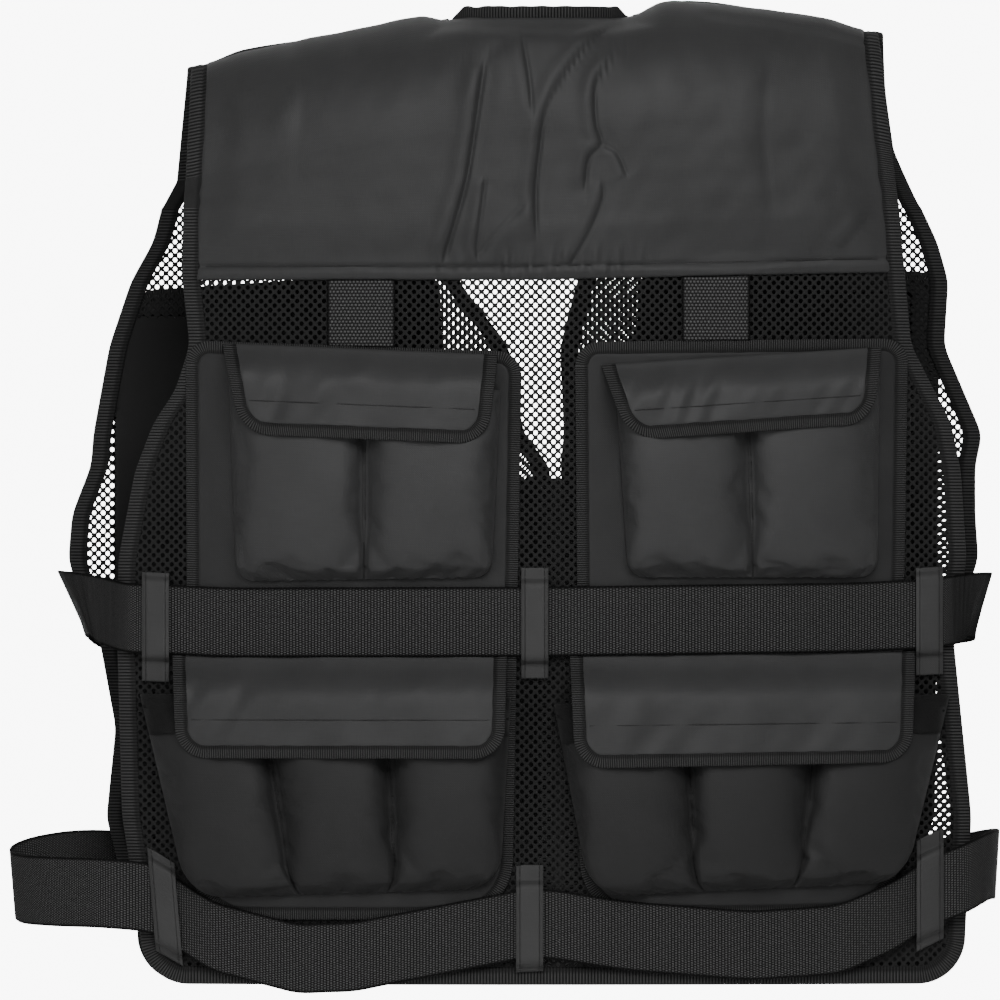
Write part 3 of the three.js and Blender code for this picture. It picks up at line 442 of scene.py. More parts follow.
# %% Shared effects
def woven_group():
    """Fine plain weave with uneven yarns. Gives a factor about 1 for the colour, and a normal."""
    tree, inp, out = group("Woven", {
        "Vector": ("Vector", None), "Pitch": ("Float", 0.0006), "Streak": ("Float", 0.1),
        "Patch": ("Float", 0.12), "Depth": ("Float", 0.5),
    }, {"Factor": "Float", "Normal": "Vector"})
    place = inp.outputs["Vector"]

    def yarns(rates, detail):
        long = add(tree, "ShaderNodeVectorMath", {0: place, 1: rates}, operation="MULTIPLY")
        noise = add(tree, "ShaderNodeTexNoise", {"Vector": long.outputs[0], "Scale": 1.0, "Detail": detail})
        return calc(tree, "SUBTRACT", noise.outputs[0], 0.5)

    part = add(tree, "ShaderNodeSeparateXYZ", {0: place})
    turns = calc(tree, "DIVIDE", math.pi, inp.outputs["Pitch"])
    warp, weft = (calc(tree, "SINE", calc(tree, "MULTIPLY", part.outputs[k], turns)) for k in (0, 1))
    weave = calc(tree, "MULTIPLY", warp, weft)
    yarn = calc(tree, "ADD", yarns((1500.0, 90.0, 1.0), 2.0), yarns((80.0, 1400.0, 1.0), 1.0))
    soft = add(tree, "ShaderNodeTexNoise", {"Vector": place, "Scale": 28.0, "Detail": 3.0})
    factor = calc(tree, "MULTIPLY_ADD", yarn, inp.outputs["Streak"], 1.0)
    uneven = calc(tree, "SUBTRACT", soft.outputs[0], 0.5)
    factor = calc(tree, "MULTIPLY_ADD", uneven, inp.outputs["Patch"], factor)
    tree.links.new(factor, out.inputs["Factor"])
    height = calc(tree, "MULTIPLY_ADD", yarn, 0.8, calc(tree, "MULTIPLY", weave, 0.4))
    bumped(tree, height, inp.outputs["Depth"], 0.0002, out.inputs["Normal"])
    return tree


def fleck_group():
    """Webbing: raised flecks in columns, every other one half a step on. Gives a mask and a normal."""
    tree, inp, out = group("Flecks", {
        "Vector": ("Vector", None), "Along": ("Float", 0.00165), "Across": ("Float", 0.0012),
        "Half": ("Float", 0.023),
    }, {"Mask": "Float", "Normal": "Vector"})
    part = add(tree, "ShaderNodeSeparateXYZ", {0: inp.outputs["Vector"]})
    row = calc(tree, "DIVIDE", part.outputs[0], inp.outputs["Along"])
    odd = calc(tree, "MULTIPLY", calc(tree, "FLOOR", row), 0.5)
    col = calc(tree, "ADD", calc(tree, "DIVIDE", part.outputs[1], inp.outputs["Across"]), odd)

    def hill(value):
        return calc(tree, "ABSOLUTE", calc(tree, "SINE", calc(tree, "MULTIPLY", value, math.pi)))

    fleck = calc(tree, "MULTIPLY", hill(row), hill(col))
    rough = add(tree, "ShaderNodeTexNoise", {"Vector": inp.outputs["Vector"], "Scale": 700.0, "Detail": 2.0})
    fleck = calc(tree, "MULTIPLY", fleck, calc(tree, "MULTIPLY_ADD", rough.outputs[0], 1.6, 0.2))
    side = calc(tree, "SUBTRACT", inp.outputs["Half"], calc(tree, "ABSOLUTE", part.outputs[1]))
    edge = add(tree, "ShaderNodeMapRange", {0: side, 1: 0.0008, 2: 0.0024}, interpolation_type="SMOOTHSTEP")
    mask = calc(tree, "MULTIPLY", calc(tree, "POWER", fleck, 1.4), edge.outputs[0])
    tree.links.new(mask, out.inputs["Mask"])
    bumped(tree, fleck, 0.9, 0.0005, out.inputs["Normal"])
    return tree


def rib_group():
    """Ribs across a tape, strong over its outer part and fading inwards. Gives a mask and a normal."""
    tree, inp, out = group("Ribs", {
        "Vector": ("Vector", None), "Pitch": ("Float", 0.00125),
    }, {"Mask": "Float", "Normal": "Vector"})
    part = add(tree, "ShaderNodeSeparateXYZ", {0: inp.outputs["Vector"]})
    turns = calc(tree, "DIVIDE", part.outputs[0], inp.outputs["Pitch"])
    wave = calc(tree, "SINE", calc(tree, "MULTIPLY", turns, math.tau))
    rough = add(tree, "ShaderNodeTexNoise", {"Vector": inp.outputs["Vector"], "Scale": 420.0, "Detail": 2.0})
    fading = {0: part.outputs[1], 1: 0.55, 2: 0.8, 3: 1.0, 4: 0.25}
    outer = add(tree, "ShaderNodeMapRange", fading, interpolation_type="SMOOTHSTEP")
    rib = calc(tree, "MULTIPLY_ADD", wave, 0.5, rough.outputs[0])
    height = calc(tree, "MULTIPLY", rib, outer.outputs[0])
    tree.links.new(height, out.inputs["Mask"])
    bumped(tree, height, 0.8, 0.0006, out.inputs["Normal"])
    return tree


WOVEN, FLECKS, RIBS = woven_group(), fleck_group(), rib_group()
print("groups:", WOVEN.name, FLECKS.name, RIBS.name)

# %% Finishes
def begin(name):
    """New material with its shader and the piece's UV."""
    material = bpy.data.materials.new(name)
    material.use_nodes = True
    tree = material.node_tree
    shader = tree.nodes["Principled BSDF"]
    uv = add(tree, "ShaderNodeUVMap", uv_map="UVMap")
    return material, tree, shader, uv.outputs[0]


def put(shader, **values):
    """Constants on the shader's own sockets, by name with spaces for underscores."""
    for key, value in values.items():
        shader.inputs[key.replace("_", " ")].default_value = value


def tone(tree, shader, factor, low, high):
    """Base colour between two greys, as far as the factor says."""
    blend = add(tree, "ShaderNodeMix", {0: factor, 6: low, 7: high}, data_type="RGBA")
    tree.links.new(blend.outputs[2], shader.inputs["Base Color"])


def dressed(name, effect, **values):
    """New material with a shared effect on its normal; the values go on the effect's sockets."""
    material, tree, shader, uv = begin(name)
    node = add(tree, "ShaderNodeGroup", {"Vector": uv, **values}, node_tree=effect)
    tree.links.new(node.outputs["Normal"], shader.inputs["Normal"])
    return material, tree, shader, node


def nylon(name, level, tint, roughness=0.55, streak=0.25, patch=0.5):
    """Woven nylon: a dark grey whose yarns and patches vary, with a faint sheen."""
    material, tree, shader, weave = dressed(name, WOVEN, Streak=streak, Patch=patch, Depth=0.6)
    factor = add(tree, "ShaderNodeMapRange", {0: weave.outputs["Factor"], 1: 0.6, 2: 1.4})
    tone(tree, shader, factor.outputs[0], grey(level * 0.82, tint), grey(level * 1.18, tint))
    put(shader, Roughness=roughness, Sheen_Weight=0.04, Sheen_Roughness=0.45, Specular_IOR_Level=0.22)
    return material


def webbing(name, low, high, along, across, half):
    """Webbing: dark ground with lighter flecks, smooth at both edges."""
    material, tree, shader, fleck = dressed(name, FLECKS, Along=along, Across=across, Half=half)
    tone(tree, shader, fleck.outputs["Mask"], grey(low), grey(high))
    put(shader, Roughness=0.7, Specular_IOR_Level=0.15)
    return material


def ribbed(name, low, high, pitch):
    """Ribbed edge tape: ribs across it over its outer part."""
    material, tree, shader, ribs = dressed(name, RIBS, Pitch=pitch)
    tone(tree, shader, ribs.outputs["Mask"], grey(low), grey(high))
    put(shader, Roughness=0.65, Specular_IOR_Level=0.18)
    return material


def fuzzy(name, low, high):
    """Fastening strip: a felt of tiny loops, dull and dark."""
    material, tree, shader, uv = begin(name)
    loops = add(tree, "ShaderNodeTexNoise", {"Vector": uv, "Scale": 900.0, "Detail": 3.0})
    tone(tree, shader, loops.outputs[0], grey(low), grey(high))
    bumped(tree, loops.outputs[0], 0.7, 0.0005, shader.inputs["Normal"])
    put(shader, Roughness=0.95, Sheen_Weight=0.05, Specular_IOR_Level=0.1)
    return material


def thread(name, low, high):
    """Sewing thread: fine turns along each stitch."""
    material, tree, shader, uv = begin(name)
    noise = add(tree, "ShaderNodeTexNoise", {"Vector": uv, "Scale": 1500.0, "Detail": 1.0})
    tone(tree, shader, noise.outputs[0], grey(low), grey(high))
    put(shader, Roughness=0.5, Specular_IOR_Level=0.4)
    return material


# Levels are greys on the 0 to 255 scale; webbing and tape have a dark and a light one
YOKE_CLOTH = nylon("Yoke nylon", 46, tint=0.4, roughness=0.5, streak=0.3)
POCKET_CLOTH = nylon("Pocket nylon", 50, tint=0.4, roughness=0.5)
# Lower pockets: the pocket nylon at a darker grey, painted shade for light that falls on them from above
SHADED_POCKET_CLOTH = nylon("Lower pocket nylon with painted shade", 34, tint=0.2)
PANEL_CLOTH = nylon("Panel nylon", 36, tint=0.4)
KEEPER_CLOTH = nylon("Keeper cloth", 53, tint=0.0, roughness=0.6)
NET_CLOTH = nylon("Net yarn", 23, tint=0.0, roughness=0.75, patch=0.3)
BELT = webbing("Belt webbing", 3, 80, along=0.0021, across=0.0016, half=WEBBING / 2)
TAB = webbing("Tab webbing", 7, 84, along=0.0022, across=0.0024, half=TAB_HALF)
EDGE = ribbed("Edge tape", 3, 66, pitch=0.0021)
STRIP = fuzzy("Fastening strip", 12, 32)
THREAD = thread("Thread", 14, 30)
LOWER_FLAP_CLOTH = nylon("Lower flap nylon", 50, tint=0.4)
print("finishes:", ", ".join(m.name for m in bpy.data.materials if m.users or m.use_nodes))

# %% [markdown]
# ## Small makers for cloth and tape
# Most of the vest is four-cornered pieces sewn to one another. `framed` lays such a piece on the vest,
# `patch` makes its cloth and `bound` the tape round it. `stitches` sews short threads along any line.

# %% Makers
def finish(obj, node, replaces=True):
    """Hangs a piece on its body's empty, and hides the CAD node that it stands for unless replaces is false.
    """
    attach(obj, "root")
    if replaces:
        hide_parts(node)
    return obj


def framed(row, side):
    """Width, height and placing function of a four-cornered piece; a and b start at its head's left end."""
    lt, lf, rt, rf, hl, hr, fl, fr = row
    wide = (rt - lt + rf - lf) / 2 * HALF
    tall = (fl - hl + fr - hr) / 2 * LENGTH

    def place(a, b, off):
        u, v = a / wide, b / tall
        x = mix(mix(lt, rt, u), mix(lf, rf, u), v) * HALF
        d = mix(mix(hl, hr, u), mix(fl, fr, u), v) * LENGTH
        return skin(side, x, d, off)

    return wide, tall, place


def corner_cut(distance, radius):
    """How far a rounded corner stands in from the side, at a distance from the piece's end."""
    gap = np.clip(radius - distance, 0, radius)
    return radius - np.sqrt(radius * radius - gap * gap)


def patch(name, row, side, inset, radii, height, material, step, seed, rough=0.0003):
    """Cloth of a four-cornered piece: a wall with rounded corners whose edges thin out.
    inset is how far it stays in at head, foot and sides; height(a, b) is the way off the net."""
    wide, tall, place = framed(row, side)
    head, foot, near = inset
    b = spread(head, tall - foot, step)[:, None]
    gaps = (b - head, tall - foot - b)
    cuts = [corner_cut(gap, radius) if radius else 0 * b for gap, radius in zip(gaps, radii)]
    cut = np.maximum(cuts[0], cuts[1])
    right = wide - near - cut
    share = spread(0, 1, step / wide, fine=0.004 / wide)[None, :]
    a = mix(near + cut, right, share)
    b = b + 0 * a
    edge = np.minimum(np.minimum(b - head, tall - foot - b), np.minimum(a - near - cut, right - a))
    base = height(a, b) + rough * waves(a, b, 0.03, seed) * ease(edge / 0.01)
    thickness = CLOTH * thinned(edge, 0.0012, 0.35)
    uv = np.stack([a, b], -1)
    return wall(name, place(a, b, base + thickness), place(a, b, base), uv, material)


def outline(wide, tall, width, top, foot, whole, step=0.003):
    """Outer and inner points of a tape round a piece: four numbers a row, all round or on three sides."""
    def arc(ca, cb, radius, start):
        angle = start - np.linspace(0, 1, 12)[:, None] * (math.pi / 2)
        near = radius - width
        c, s = np.cos(angle), np.sin(angle)
        return np.hstack([ca + radius * c, cb + radius * s, ca + near * c, cb + near * s])

    start = [[0, top, width, top]]
    rows = [start, arc(foot, tall - foot, foot, math.pi), arc(wide - foot, tall - foot, foot, math.pi / 2)]
    if whole:
        rows += [arc(wide - top, top, top, 0.0), arc(top, top, top, -math.pi / 2)[:-1], start]
    else:
        rows.append([[wide, top, wide - width, top]])
    line, gone = follow(np.concatenate([np.asarray(r, float) for r in rows]), step)
    return (line[:-1], gone[:-1]) if whole else (line, gone)


# Outline of a folded tape: how far across it, and how high
ACROSS = np.array([0.0, 0.0, 0.03, 0.1, 0.22, 0.4, 0.58, 0.66, 0.72, 0.86, 0.96, 1.0, 1.0, 0.9, 0.5, 0.1])
RISE = np.array([0.1, 0.55, 0.84, 0.97, 1.0, 1.0, 0.94, 0.8, 0.84, 0.86, 0.7, 0.4, 0.1, 0.0, 0.0, 0.0])


def tape_rings(line, gone, point, low, high, seed):
    """Rings of a folded tape: its outline goes from the outer edge over a sewn line to the inner edge."""
    w = ACROSS[None, :]
    a = mix(line[:, 0:1], line[:, 2:3], w)
    b = mix(line[:, 1:2], line[:, 3:4], w)
    uneven = 1 + 0.12 * waves(gone, gone * 0, 0.02, seed)[:, None] * (RISE > 0.2)
    off = mix(low, high, RISE[None, :] * uneven)
    uv = np.stack([gone[:, None] + 0 * w, w + 0 * gone[:, None]], -1)
    return point(a, b, off), uv


def bound(name, row, side, width, radii, whole, height, low, high, seed):
    """Tape round a four-cornered piece."""
    wide, tall, place = framed(row, side)
    line, gone = outline(wide, tall, width, radii[0], radii[1], whole)
    rise = lambda a, b, off: place(a, b, height(a, b) + off)
    rings, uv = tape_rings(line, gone, rise, low, high, seed)
    return sweep(name, rings, uv, EDGE, ring=whole)


def stitches(name, lines, pitch=0.0032, long=0.0024, thick=0.00028):
    """Threads along lines of (points, outward points). A stitch is a small bar with pointed ends."""
    points, faces, marks = [], [], []
    shape = np.array([-0.5, -0.3, 0.3, 0.5])
    size = np.array([0.0, 1.0, 1.0, 0.0])
    bar = cells(4, 4, around=True)
    count = 0
    for line, out in lines:
        both, gone = follow(np.hstack([line, out]), pitch)
        at, normal = both[:, :3], both[:, 3:] - both[:, :3]
        normal = normal / np.linalg.norm(normal, axis=1)[:, None]
        way = np.gradient(at, axis=0)
        way = way / np.linalg.norm(way, axis=1)[:, None]
        cross = np.cross(way, normal)
        middle = at[:, None, None] + way[:, None, None] * (shape * long)[None, :, None, None]
        around = np.stack([normal, cross, -normal, -cross], 1)[:, None]
        ring = middle + around * (size * thick)[None, :, None, None] + around * 0.00001
        points.append(ring.reshape(-1, 3))
        faces.append((bar[None] + 16 * (count + np.arange(len(at)))[:, None, None]).reshape(-1, 4))
        marks.append(np.repeat(np.stack([gone, 0 * gone], -1), 16, axis=0))
        count += len(at)
    points, faces = np.concatenate(points), np.concatenate(faces)
    if volume(points, faces) < 0:
        faces = faces[:, ::-1]
    return make(name, points, faces, np.concatenate(marks), THREAD)


def sewn(place, a, b, height):
    """A line of stitches on a placed piece: its points, and the same points a little further out."""
    return place(a, b, height), place(a, b, height + 0.001)


print("makers: patch, bound, tape_rings, stitches")

# %% [markdown]
# ## The yoke
# The yoke goes over both shoulders and down the back. Its creases are lines on the picture plane;
# each presses a soft groove into the cloth and lifts a small ridge beside it.

# %% Creases
def spot(points):
    """Places on the picture, in thousandths of its width, as across and height on the vest."""
    points = np.asarray(points, float)
    return np.stack([(points[:, 0] - 540) * PX, -(points[:, 1] - 10) * PX], -1)


# Each crease: how deep in millimetres, how wide, and its line
CREASES = [
    (2.6, 3.6, [(486, 61), (481, 90), (477, 116), (467, 179), (453, 230), (442, 267)]),
    (1.6, 2.6, [(486, 177), (481, 215), (477, 247), (479, 262)]),
    (1.4, 3.0, [(522, 40), (529, 76), (533, 116)]),
    (2.2, 3.2, [(611, 27), (586, 52), (562, 83), (546, 113), (540, 150), (536, 190), (537, 242)]),
    (1.9, 2.8, [(617, 61), (597, 86), (596, 122), (602, 144), (589, 159), (585, 193)]),
    (1.2, 2.4, [(602, 144), (617, 153), (628, 177)]),
    (1.6, 2.8, [(602, 181), (603, 199), (589, 233), (568, 269)]),
    (1.3, 3.2, [(868, 217), (855, 234), (840, 251)]),
    (0.8, 3.4, [(486, 60), (506, 46)]),
    (0.8, 3.6, [(477, 257), (503, 226), (528, 201)]),
    (0.7, 5.0, [(310, 60), (300, 120), (296, 190)]),
    (0.6, 6.0, [(770, 60), (764, 130), (772, 220)]),
]


def crease_field(x, z):
    """Depth of all creases at a place: for each, the nearest way to its line gives a bell-shaped groove,
    and a weaker, shifted bell gives the ridge on its right. Both fade at the line's ends."""
    total = np.zeros_like(x)
    for deep, wide, points in CREASES:
        line = curve(spot(points), 0.004)[0]
        near = np.full(x.shape, 1e9)
        side = np.zeros_like(x)
        share = np.zeros_like(x)
        for k in range(len(line) - 1):
            a, way = line[k], line[k + 1] - line[k]
            t = np.clip(((x - a[0]) * way[0] + (z - a[1]) * way[1]) / (way @ way), 0, 1)
            px, pz = x - a[0] - t * way[0], z - a[1] - t * way[1]
            gap = np.hypot(px, pz)
            hit = gap < near
            near = np.where(hit, gap, near)
            side = np.where(hit, np.sign(px * way[1] - pz * way[0]), side)
            share = np.where(hit, (k + t) / (len(line) - 1), share)
        wide, deep = wide * 0.001, deep * 0.001
        fade = ease(share / 0.15 + 0.25) * ease((1 - share) / 0.15 + 0.2)
        groove = np.exp(-((near / (0.38 * wide)) ** 2))
        lift = np.exp(-(((near * side - 1.8 * wide) / (1.8 * wide)) ** 2))
        dip = np.exp(-(((near * side + 1.0 * wide) / (2.0 * wide)) ** 2))
        total += deep * fade * (1.0 * lift - 1.2 * groove - 0.6 * dip)
    return total


print("creases:", len(CREASES))


# %% Back yoke
def yoke_foot(x):
    """Lower edge of the back yoke: a little higher towards the right."""
    return (YOKE_FOOT - 0.008 * np.maximum(0, x / HALF)) * LENGTH


def back_yoke():
    """Padded cloth on a grid: rows follow the curve over the shoulder and then go down to the foot."""
    end = YOKE_FOOT * LENGTH
    body = np.concatenate([np.arange(CAP, end - 0.026, 0.0016), end - np.linspace(0.0255, 0, 30)])
    d = np.concatenate([cap_rows(24), body])[:, None]
    left, right, step, side_step = -0.30, 0.30, 0.0048, 0.0032 / 0.22
    share = np.concatenate([
        spread(-1, left, side_step, fine=0.02),
        np.arange(left + step, right, step),
        spread(right, 1, side_step, fine=0.02),
    ])[None, :]
    reach = np.where(share < 0, read(BACK_EDGE, 1, d / LENGTH), read(BACK_EDGE, 2, d / LENGTH))
    outer = reach * HALF - TAPE + 0.0022
    x = share * outer
    foot = yoke_foot(x)
    d = np.where(d > CAP, CAP + (d - CAP) * (foot - CAP) / (end - CAP), d + 0 * x)
    up = foot - d
    side = (1 - np.abs(share)) * outer
    full = np.minimum(1, 0.35 + 0.65 * ease(side / 0.03))
    hem = 0.12 * (1 - ease(np.abs(up - 0.0045) / 0.004))
    sewn_line = 0.16 * np.exp(-(((up - 0.0092) / 0.0016) ** 2))
    low = 0.30 + hem - sewn_line + 0.68 * ease((up - 0.009) / 0.03)
    collar = 0.12 + 0.88 * np.maximum(ease((d - 0.003) / 0.014), ease((np.abs(x) - NECK_HALF) / 0.02))
    fill = PAD * np.minimum(np.minimum(full, low), collar)
    x, d = np.broadcast_arrays(x, d)
    base = skin(-1, x, d, PANEL_OFF)
    plane_x, plane_z = base[..., 0], base[..., 2]
    keep = ease(up / 0.012) * ease(side / 0.02)
    dents = crease_field(plane_x, plane_z) * keep
    centre = 0.25 + 0.75 * np.exp(-(((plane_x + 0.004) / 0.075) ** 2))
    gather = np.exp(-(((up - 0.011) / 0.010) ** 2)) * centre
    pucker = 0.0008 * gather * waves(plane_x, plane_z * 0.25, 0.008, 11)
    broad = 0.0011 * waves(plane_x, plane_z, 0.10, 12) * keep
    broad = broad + 0.00025 * waves(plane_x, plane_z, 0.022, 13) * keep
    bite = 0.0009 * np.exp(-(((d - 0.0075) / 0.0016) ** 2)) * (plane_x > 0.11)
    edge = np.minimum(up, side)
    off = PANEL_OFF + fill * thinned(edge, 0.0022, 0.25) + dents + pucker + broad - bite
    uv = np.stack([x, d], -1)
    obj = wall("back_yoke_cloth", skin(-1, x, d, np.maximum(off, PANEL_OFF + 0.0005)), base, uv, YOKE_CLOTH)
    return finish(obj, "back_yoke")


yoke = back_yoke()
print("back yoke:", len(yoke.data.polygons), "faces")


# %% Front yokes
def front_yoke(name, column, inner, sign):
    """Front yoke: the same over the shoulder, with a shorter foot."""
    foot = FRONT_YOKE_FOOT * LENGTH
    body = np.concatenate([np.arange(CAP, foot - 0.01, 0.004), foot - np.linspace(0.0095, 0, 8)])
    d = np.concatenate([cap_rows(16), body])[:, None]
    outer = sign * (read(FRONT_EDGE, column, d / LENGTH) * HALF - TAPE - SEAM)
    near = read(FRONT_EDGE, inner, d / LENGTH) * HALF + sign * (TAPE + SEAM)
    share = spread(0, 1, 0.03, fine=0.05)[None, :]
    x = mix(near, outer, share)
    d = d + 0 * x
    side = np.minimum(np.abs(x - near), np.abs(outer - x))
    fill = PAD * np.minimum(0.4 + 0.6 * ease(side / 0.025), 0.4 + 0.6 * ease((foot - d) / 0.02))
    edge = np.minimum(side, foot - d)
    uneven = 0.0008 * waves(x, d, 0.08, 21) * ease(edge / 0.02)
    off = PANEL_OFF + fill * thinned(edge, 0.0022, 0.25) + uneven
    uv = np.stack([x, d], -1)
    obj = wall(name + "_cloth", skin(1, x, d, off), skin(1, x, d, PANEL_OFF), uv, YOKE_CLOTH)
    return finish(obj, name)


for yoke_args in (("front_yoke_left", 1, 3, -1), ("front_yoke_right", 2, 4, 1)):
    front_yoke(*yoke_args)
print("front yokes: 2")

# %% [markdown]
# ## The net
# The net is real: every hole is an eight-cornered opening in a square of yarn that stands on its corner.
# Where a pocket panel covers it, and in the strips of the front where the photo shows no light, the
# squares are left whole.

# %% Net
PITCH_X, PITCH_D = 0.00594, 0.0060
HOLE_X, HOLE_D = 0.00142, 0.00158  # half the size of a hole
FRONT_SHIFT = (0.0013, 0.0019)  # how far the front's holes are out of line with the back's
COLUMNS = 60  # squares to each side of the middle, more than the net is wide
COVER_MARGIN = 0.016


def inside(row, x, d, margin):
    """Whether a place lies inside a four-cornered piece by at least margin."""
    lt, lf, rt, rf, hl, hr, fl, fr = row
    low, high = max(hl, hr) * LENGTH + margin, min(fl, fr) * LENGTH - margin
    return (x > max(lt, lf) * HALF + margin) & (x < min(rt, rf) * HALF - margin) & (d > low) & (d < high)


def net(name, side, bounds, covers):
    """Yarn squares on their corners, each with a hole: 12 triangles; 2 where the square is covered."""
    start, end, left, right = bounds
    rows = np.arange(int(start / PITCH_D * 2), int(end / PITCH_D * 2) + 1)
    j, i = np.meshgrid(rows, np.arange(-COLUMNS, COLUMNS + 1), indexing="ij")
    m, n = (2 * i + j % 2).ravel(), j.ravel()
    shift = FRONT_SHIFT if side > 0 else (0.0, 0.0)
    x, d = m * PITCH_X / 2 + shift[0], n * PITCH_D / 2 + shift[1]
    round_in = corner_cut(np.clip(end - d, 0, 1), HEM_ROUND - TAPE)
    kept = (d > start) & (d < end) & (x > left(d) + round_in) & (x < right(d) - round_in)
    m, n, x, d = m[kept], n[kept], x[kept], d[kept]
    plain = np.zeros(len(x), bool)
    for row in covers:
        plain |= inside(row, x, d, COVER_MARGIN)
    around = ((1, 0), (0, 1), (-1, 0), (0, -1))
    key = np.stack([np.stack([m + right_of, n + below], -1) for right_of, below in around], 1)
    flat, which = np.unique(key.reshape(-1, 2), axis=0, return_inverse=True)
    which = which.reshape(-1, 4)
    cx, cd = flat[:, 0] * PITCH_X / 2 + shift[0], flat[:, 1] * PITCH_D / 2 + shift[1]
    angle = np.arange(8) * math.pi / 4
    size = 1 + 0.07 * waves(x, d, 0.01, 31)
    hx = (x[:, None] + HOLE_X * size[:, None] * np.cos(angle))[~plain]
    hd = (d[:, None] + HOLE_D * size[:, None] * np.sin(angle))[~plain]
    hole = len(flat) + np.arange(hx.size).reshape(-1, 8)
    corner = which[~plain]
    tris = []
    for q in range(4):
        a, b = corner[:, q], corner[:, (q + 1) % 4]
        h0, h1, h2 = hole[:, 2 * q], hole[:, 2 * q + 1], hole[:, (2 * q + 2) % 8]
        tris += [np.stack([a, h0, h1], -1), np.stack([a, h1, b], -1), np.stack([b, h1, h2], -1)]
    whole = which[plain]
    tris += [whole[:, [0, 1, 2]], whole[:, [0, 2, 3]]]
    faces = np.concatenate(tris)
    all_x, all_d = np.concatenate([cx, hx.ravel()]), np.concatenate([cd, hd.ravel()])
    lift = np.concatenate([np.full(len(cx), 0.001), np.full(hx.size, 0.0006)])
    lift = lift + 0.0002 * waves(all_x, all_d, 0.05, 32)
    points = skin(side, all_x, all_d, lift)
    a, b, c = (points[faces[:, k]] for k in range(3))
    if np.cross(b - a, c - a)[:, 1].sum() * side < 0:
        faces = faces[:, ::-1]
    area = float(np.linalg.norm(np.cross(b - a, c - a), axis=1).sum() / 2)
    obj = make(name + "_yarn", points, faces, np.stack([all_x, all_d], -1), NET_CLOTH)
    finish(obj, name)
    return obj, area


def edge_of(table, column, sign):
    """Edge line of a net at a depth, a little under its tape."""
    return lambda d: sign * (read(table, column, d / LENGTH) * HALF - TAPE + UNDER_TAPE)


def inner_right(d):
    """Inner edge line of the right half of the front net."""
    return read(FRONT_EDGE, 4, d / LENGTH) * HALF + TAPE - UNDER_TAPE


# Strips of the front net where the photo shows no light: rows like those of the panels
DARK_LEFT = [
    (-0.36, -0.36, 0.12, 0.12, 0.45, 0.45, 1.03, 1.03),
    (-1.31, -1.31, -1.05, -1.05, 0.285, 0.285, 0.62, 0.62),
    (-1.45, -1.45, -0.7, -0.7, 0.86, 0.86, 1.08, 1.08),
]
DARK_RIGHT = [
    (-0.02, -0.02, 0.36, 0.36, 0.45, 0.45, 1.03, 1.03),
    (0.7, 0.7, 1.45, 1.45, 0.86, 0.86, 1.08, 1.08),
]
BACK_START, FRONT_START = YOKE_FOOT * LENGTH - 0.006, FRONT_YOKE_FOOT * LENGTH + 0.002
NET_END = HEM * LENGTH - TAPE + UNDER_TAPE
NETS = {
    "back_net": (-1, BACK_START, edge_of(BACK_EDGE, 1, -1), edge_of(BACK_EDGE, 2, 1),
                 [PANELS["back_left"], PANELS["back_right"]]),
    "front_net_left": (1, FRONT_START, edge_of(FRONT_EDGE, 1, -1), edge_of(FRONT_EDGE, 3, 1),
                       [PANELS["front_left"]] + DARK_LEFT),
    "front_net_right": (1, FRONT_START, inner_right, edge_of(FRONT_EDGE, 2, 1),
                        [PANELS["front_right"]] + DARK_RIGHT),
}
for name, (side, start, left, right, covers) in NETS.items():
    obj, area = net(name, side, (start, NET_END, left, right), covers)
    rows = np.linspace(start, NET_END, 60)
    wide = float((right(rows) - left(rows)).max())
    print(name, len(obj.data.polygons), "faces, yarn area", round(area, 4))

# %% [markdown]
# ## Edge tapes
# A tape is a flat outline carried along the edge. It is thicker where it binds the yoke.

# %% Edge tapes
def side_line(table, column, sign, inward):
    """Outer and inner edge of a tape down one side, from the shoulder to the last row of the table."""
    body = np.arange(CAP, table[-1, 0] * LENGTH, 0.004)
    d = np.concatenate([cap_rows(20), body])
    x = smoothed(sign * read(table, column, d / LENGTH) * HALF, 2)
    return np.stack([x, d, x + inward * TAPE, d], -1)


def corner_line(x, sign):
    """The same round a lower corner."""
    angle = np.linspace(0, math.pi / 2, 14)[1:]
    c, s = np.cos(angle), np.sin(angle)
    mid, level, small = x - sign * HEM_ROUND, HEM * LENGTH - HEM_ROUND, HEM_ROUND - TAPE
    return np.stack([
        mid + sign * HEM_ROUND * c, level + HEM_ROUND * s, mid + sign * small * c, level + small * s,
    ], -1)


def hem_line(start, end):
    """The same along the hem."""
    x = np.linspace(start, end, max(3, int(abs(end - start) / 0.004)))
    return np.stack([x, 0 * x + HEM * LENGTH, x, 0 * x + HEM * LENGTH - TAPE], -1)


def edge_tape(name, side, line, foot):
    """Tape along the line: thick beside the yoke, thin beside the net."""
    gone = np.concatenate([[0], np.cumsum(np.linalg.norm(np.diff(line[:, :2], axis=0), axis=1))])
    thin = ease((line[:, 1:2] - foot + 0.004) / 0.008)
    low, high = mix(0.0006, -0.0002, thin), mix(0.0044, 0.0017, thin)
    point = lambda x, d, off: skin(side, x, d, off)
    rings, uv = tape_rings(line, gone, point, low, high, 41)
    return finish(sweep(name + "_ribs", rings, uv, EDGE), name)


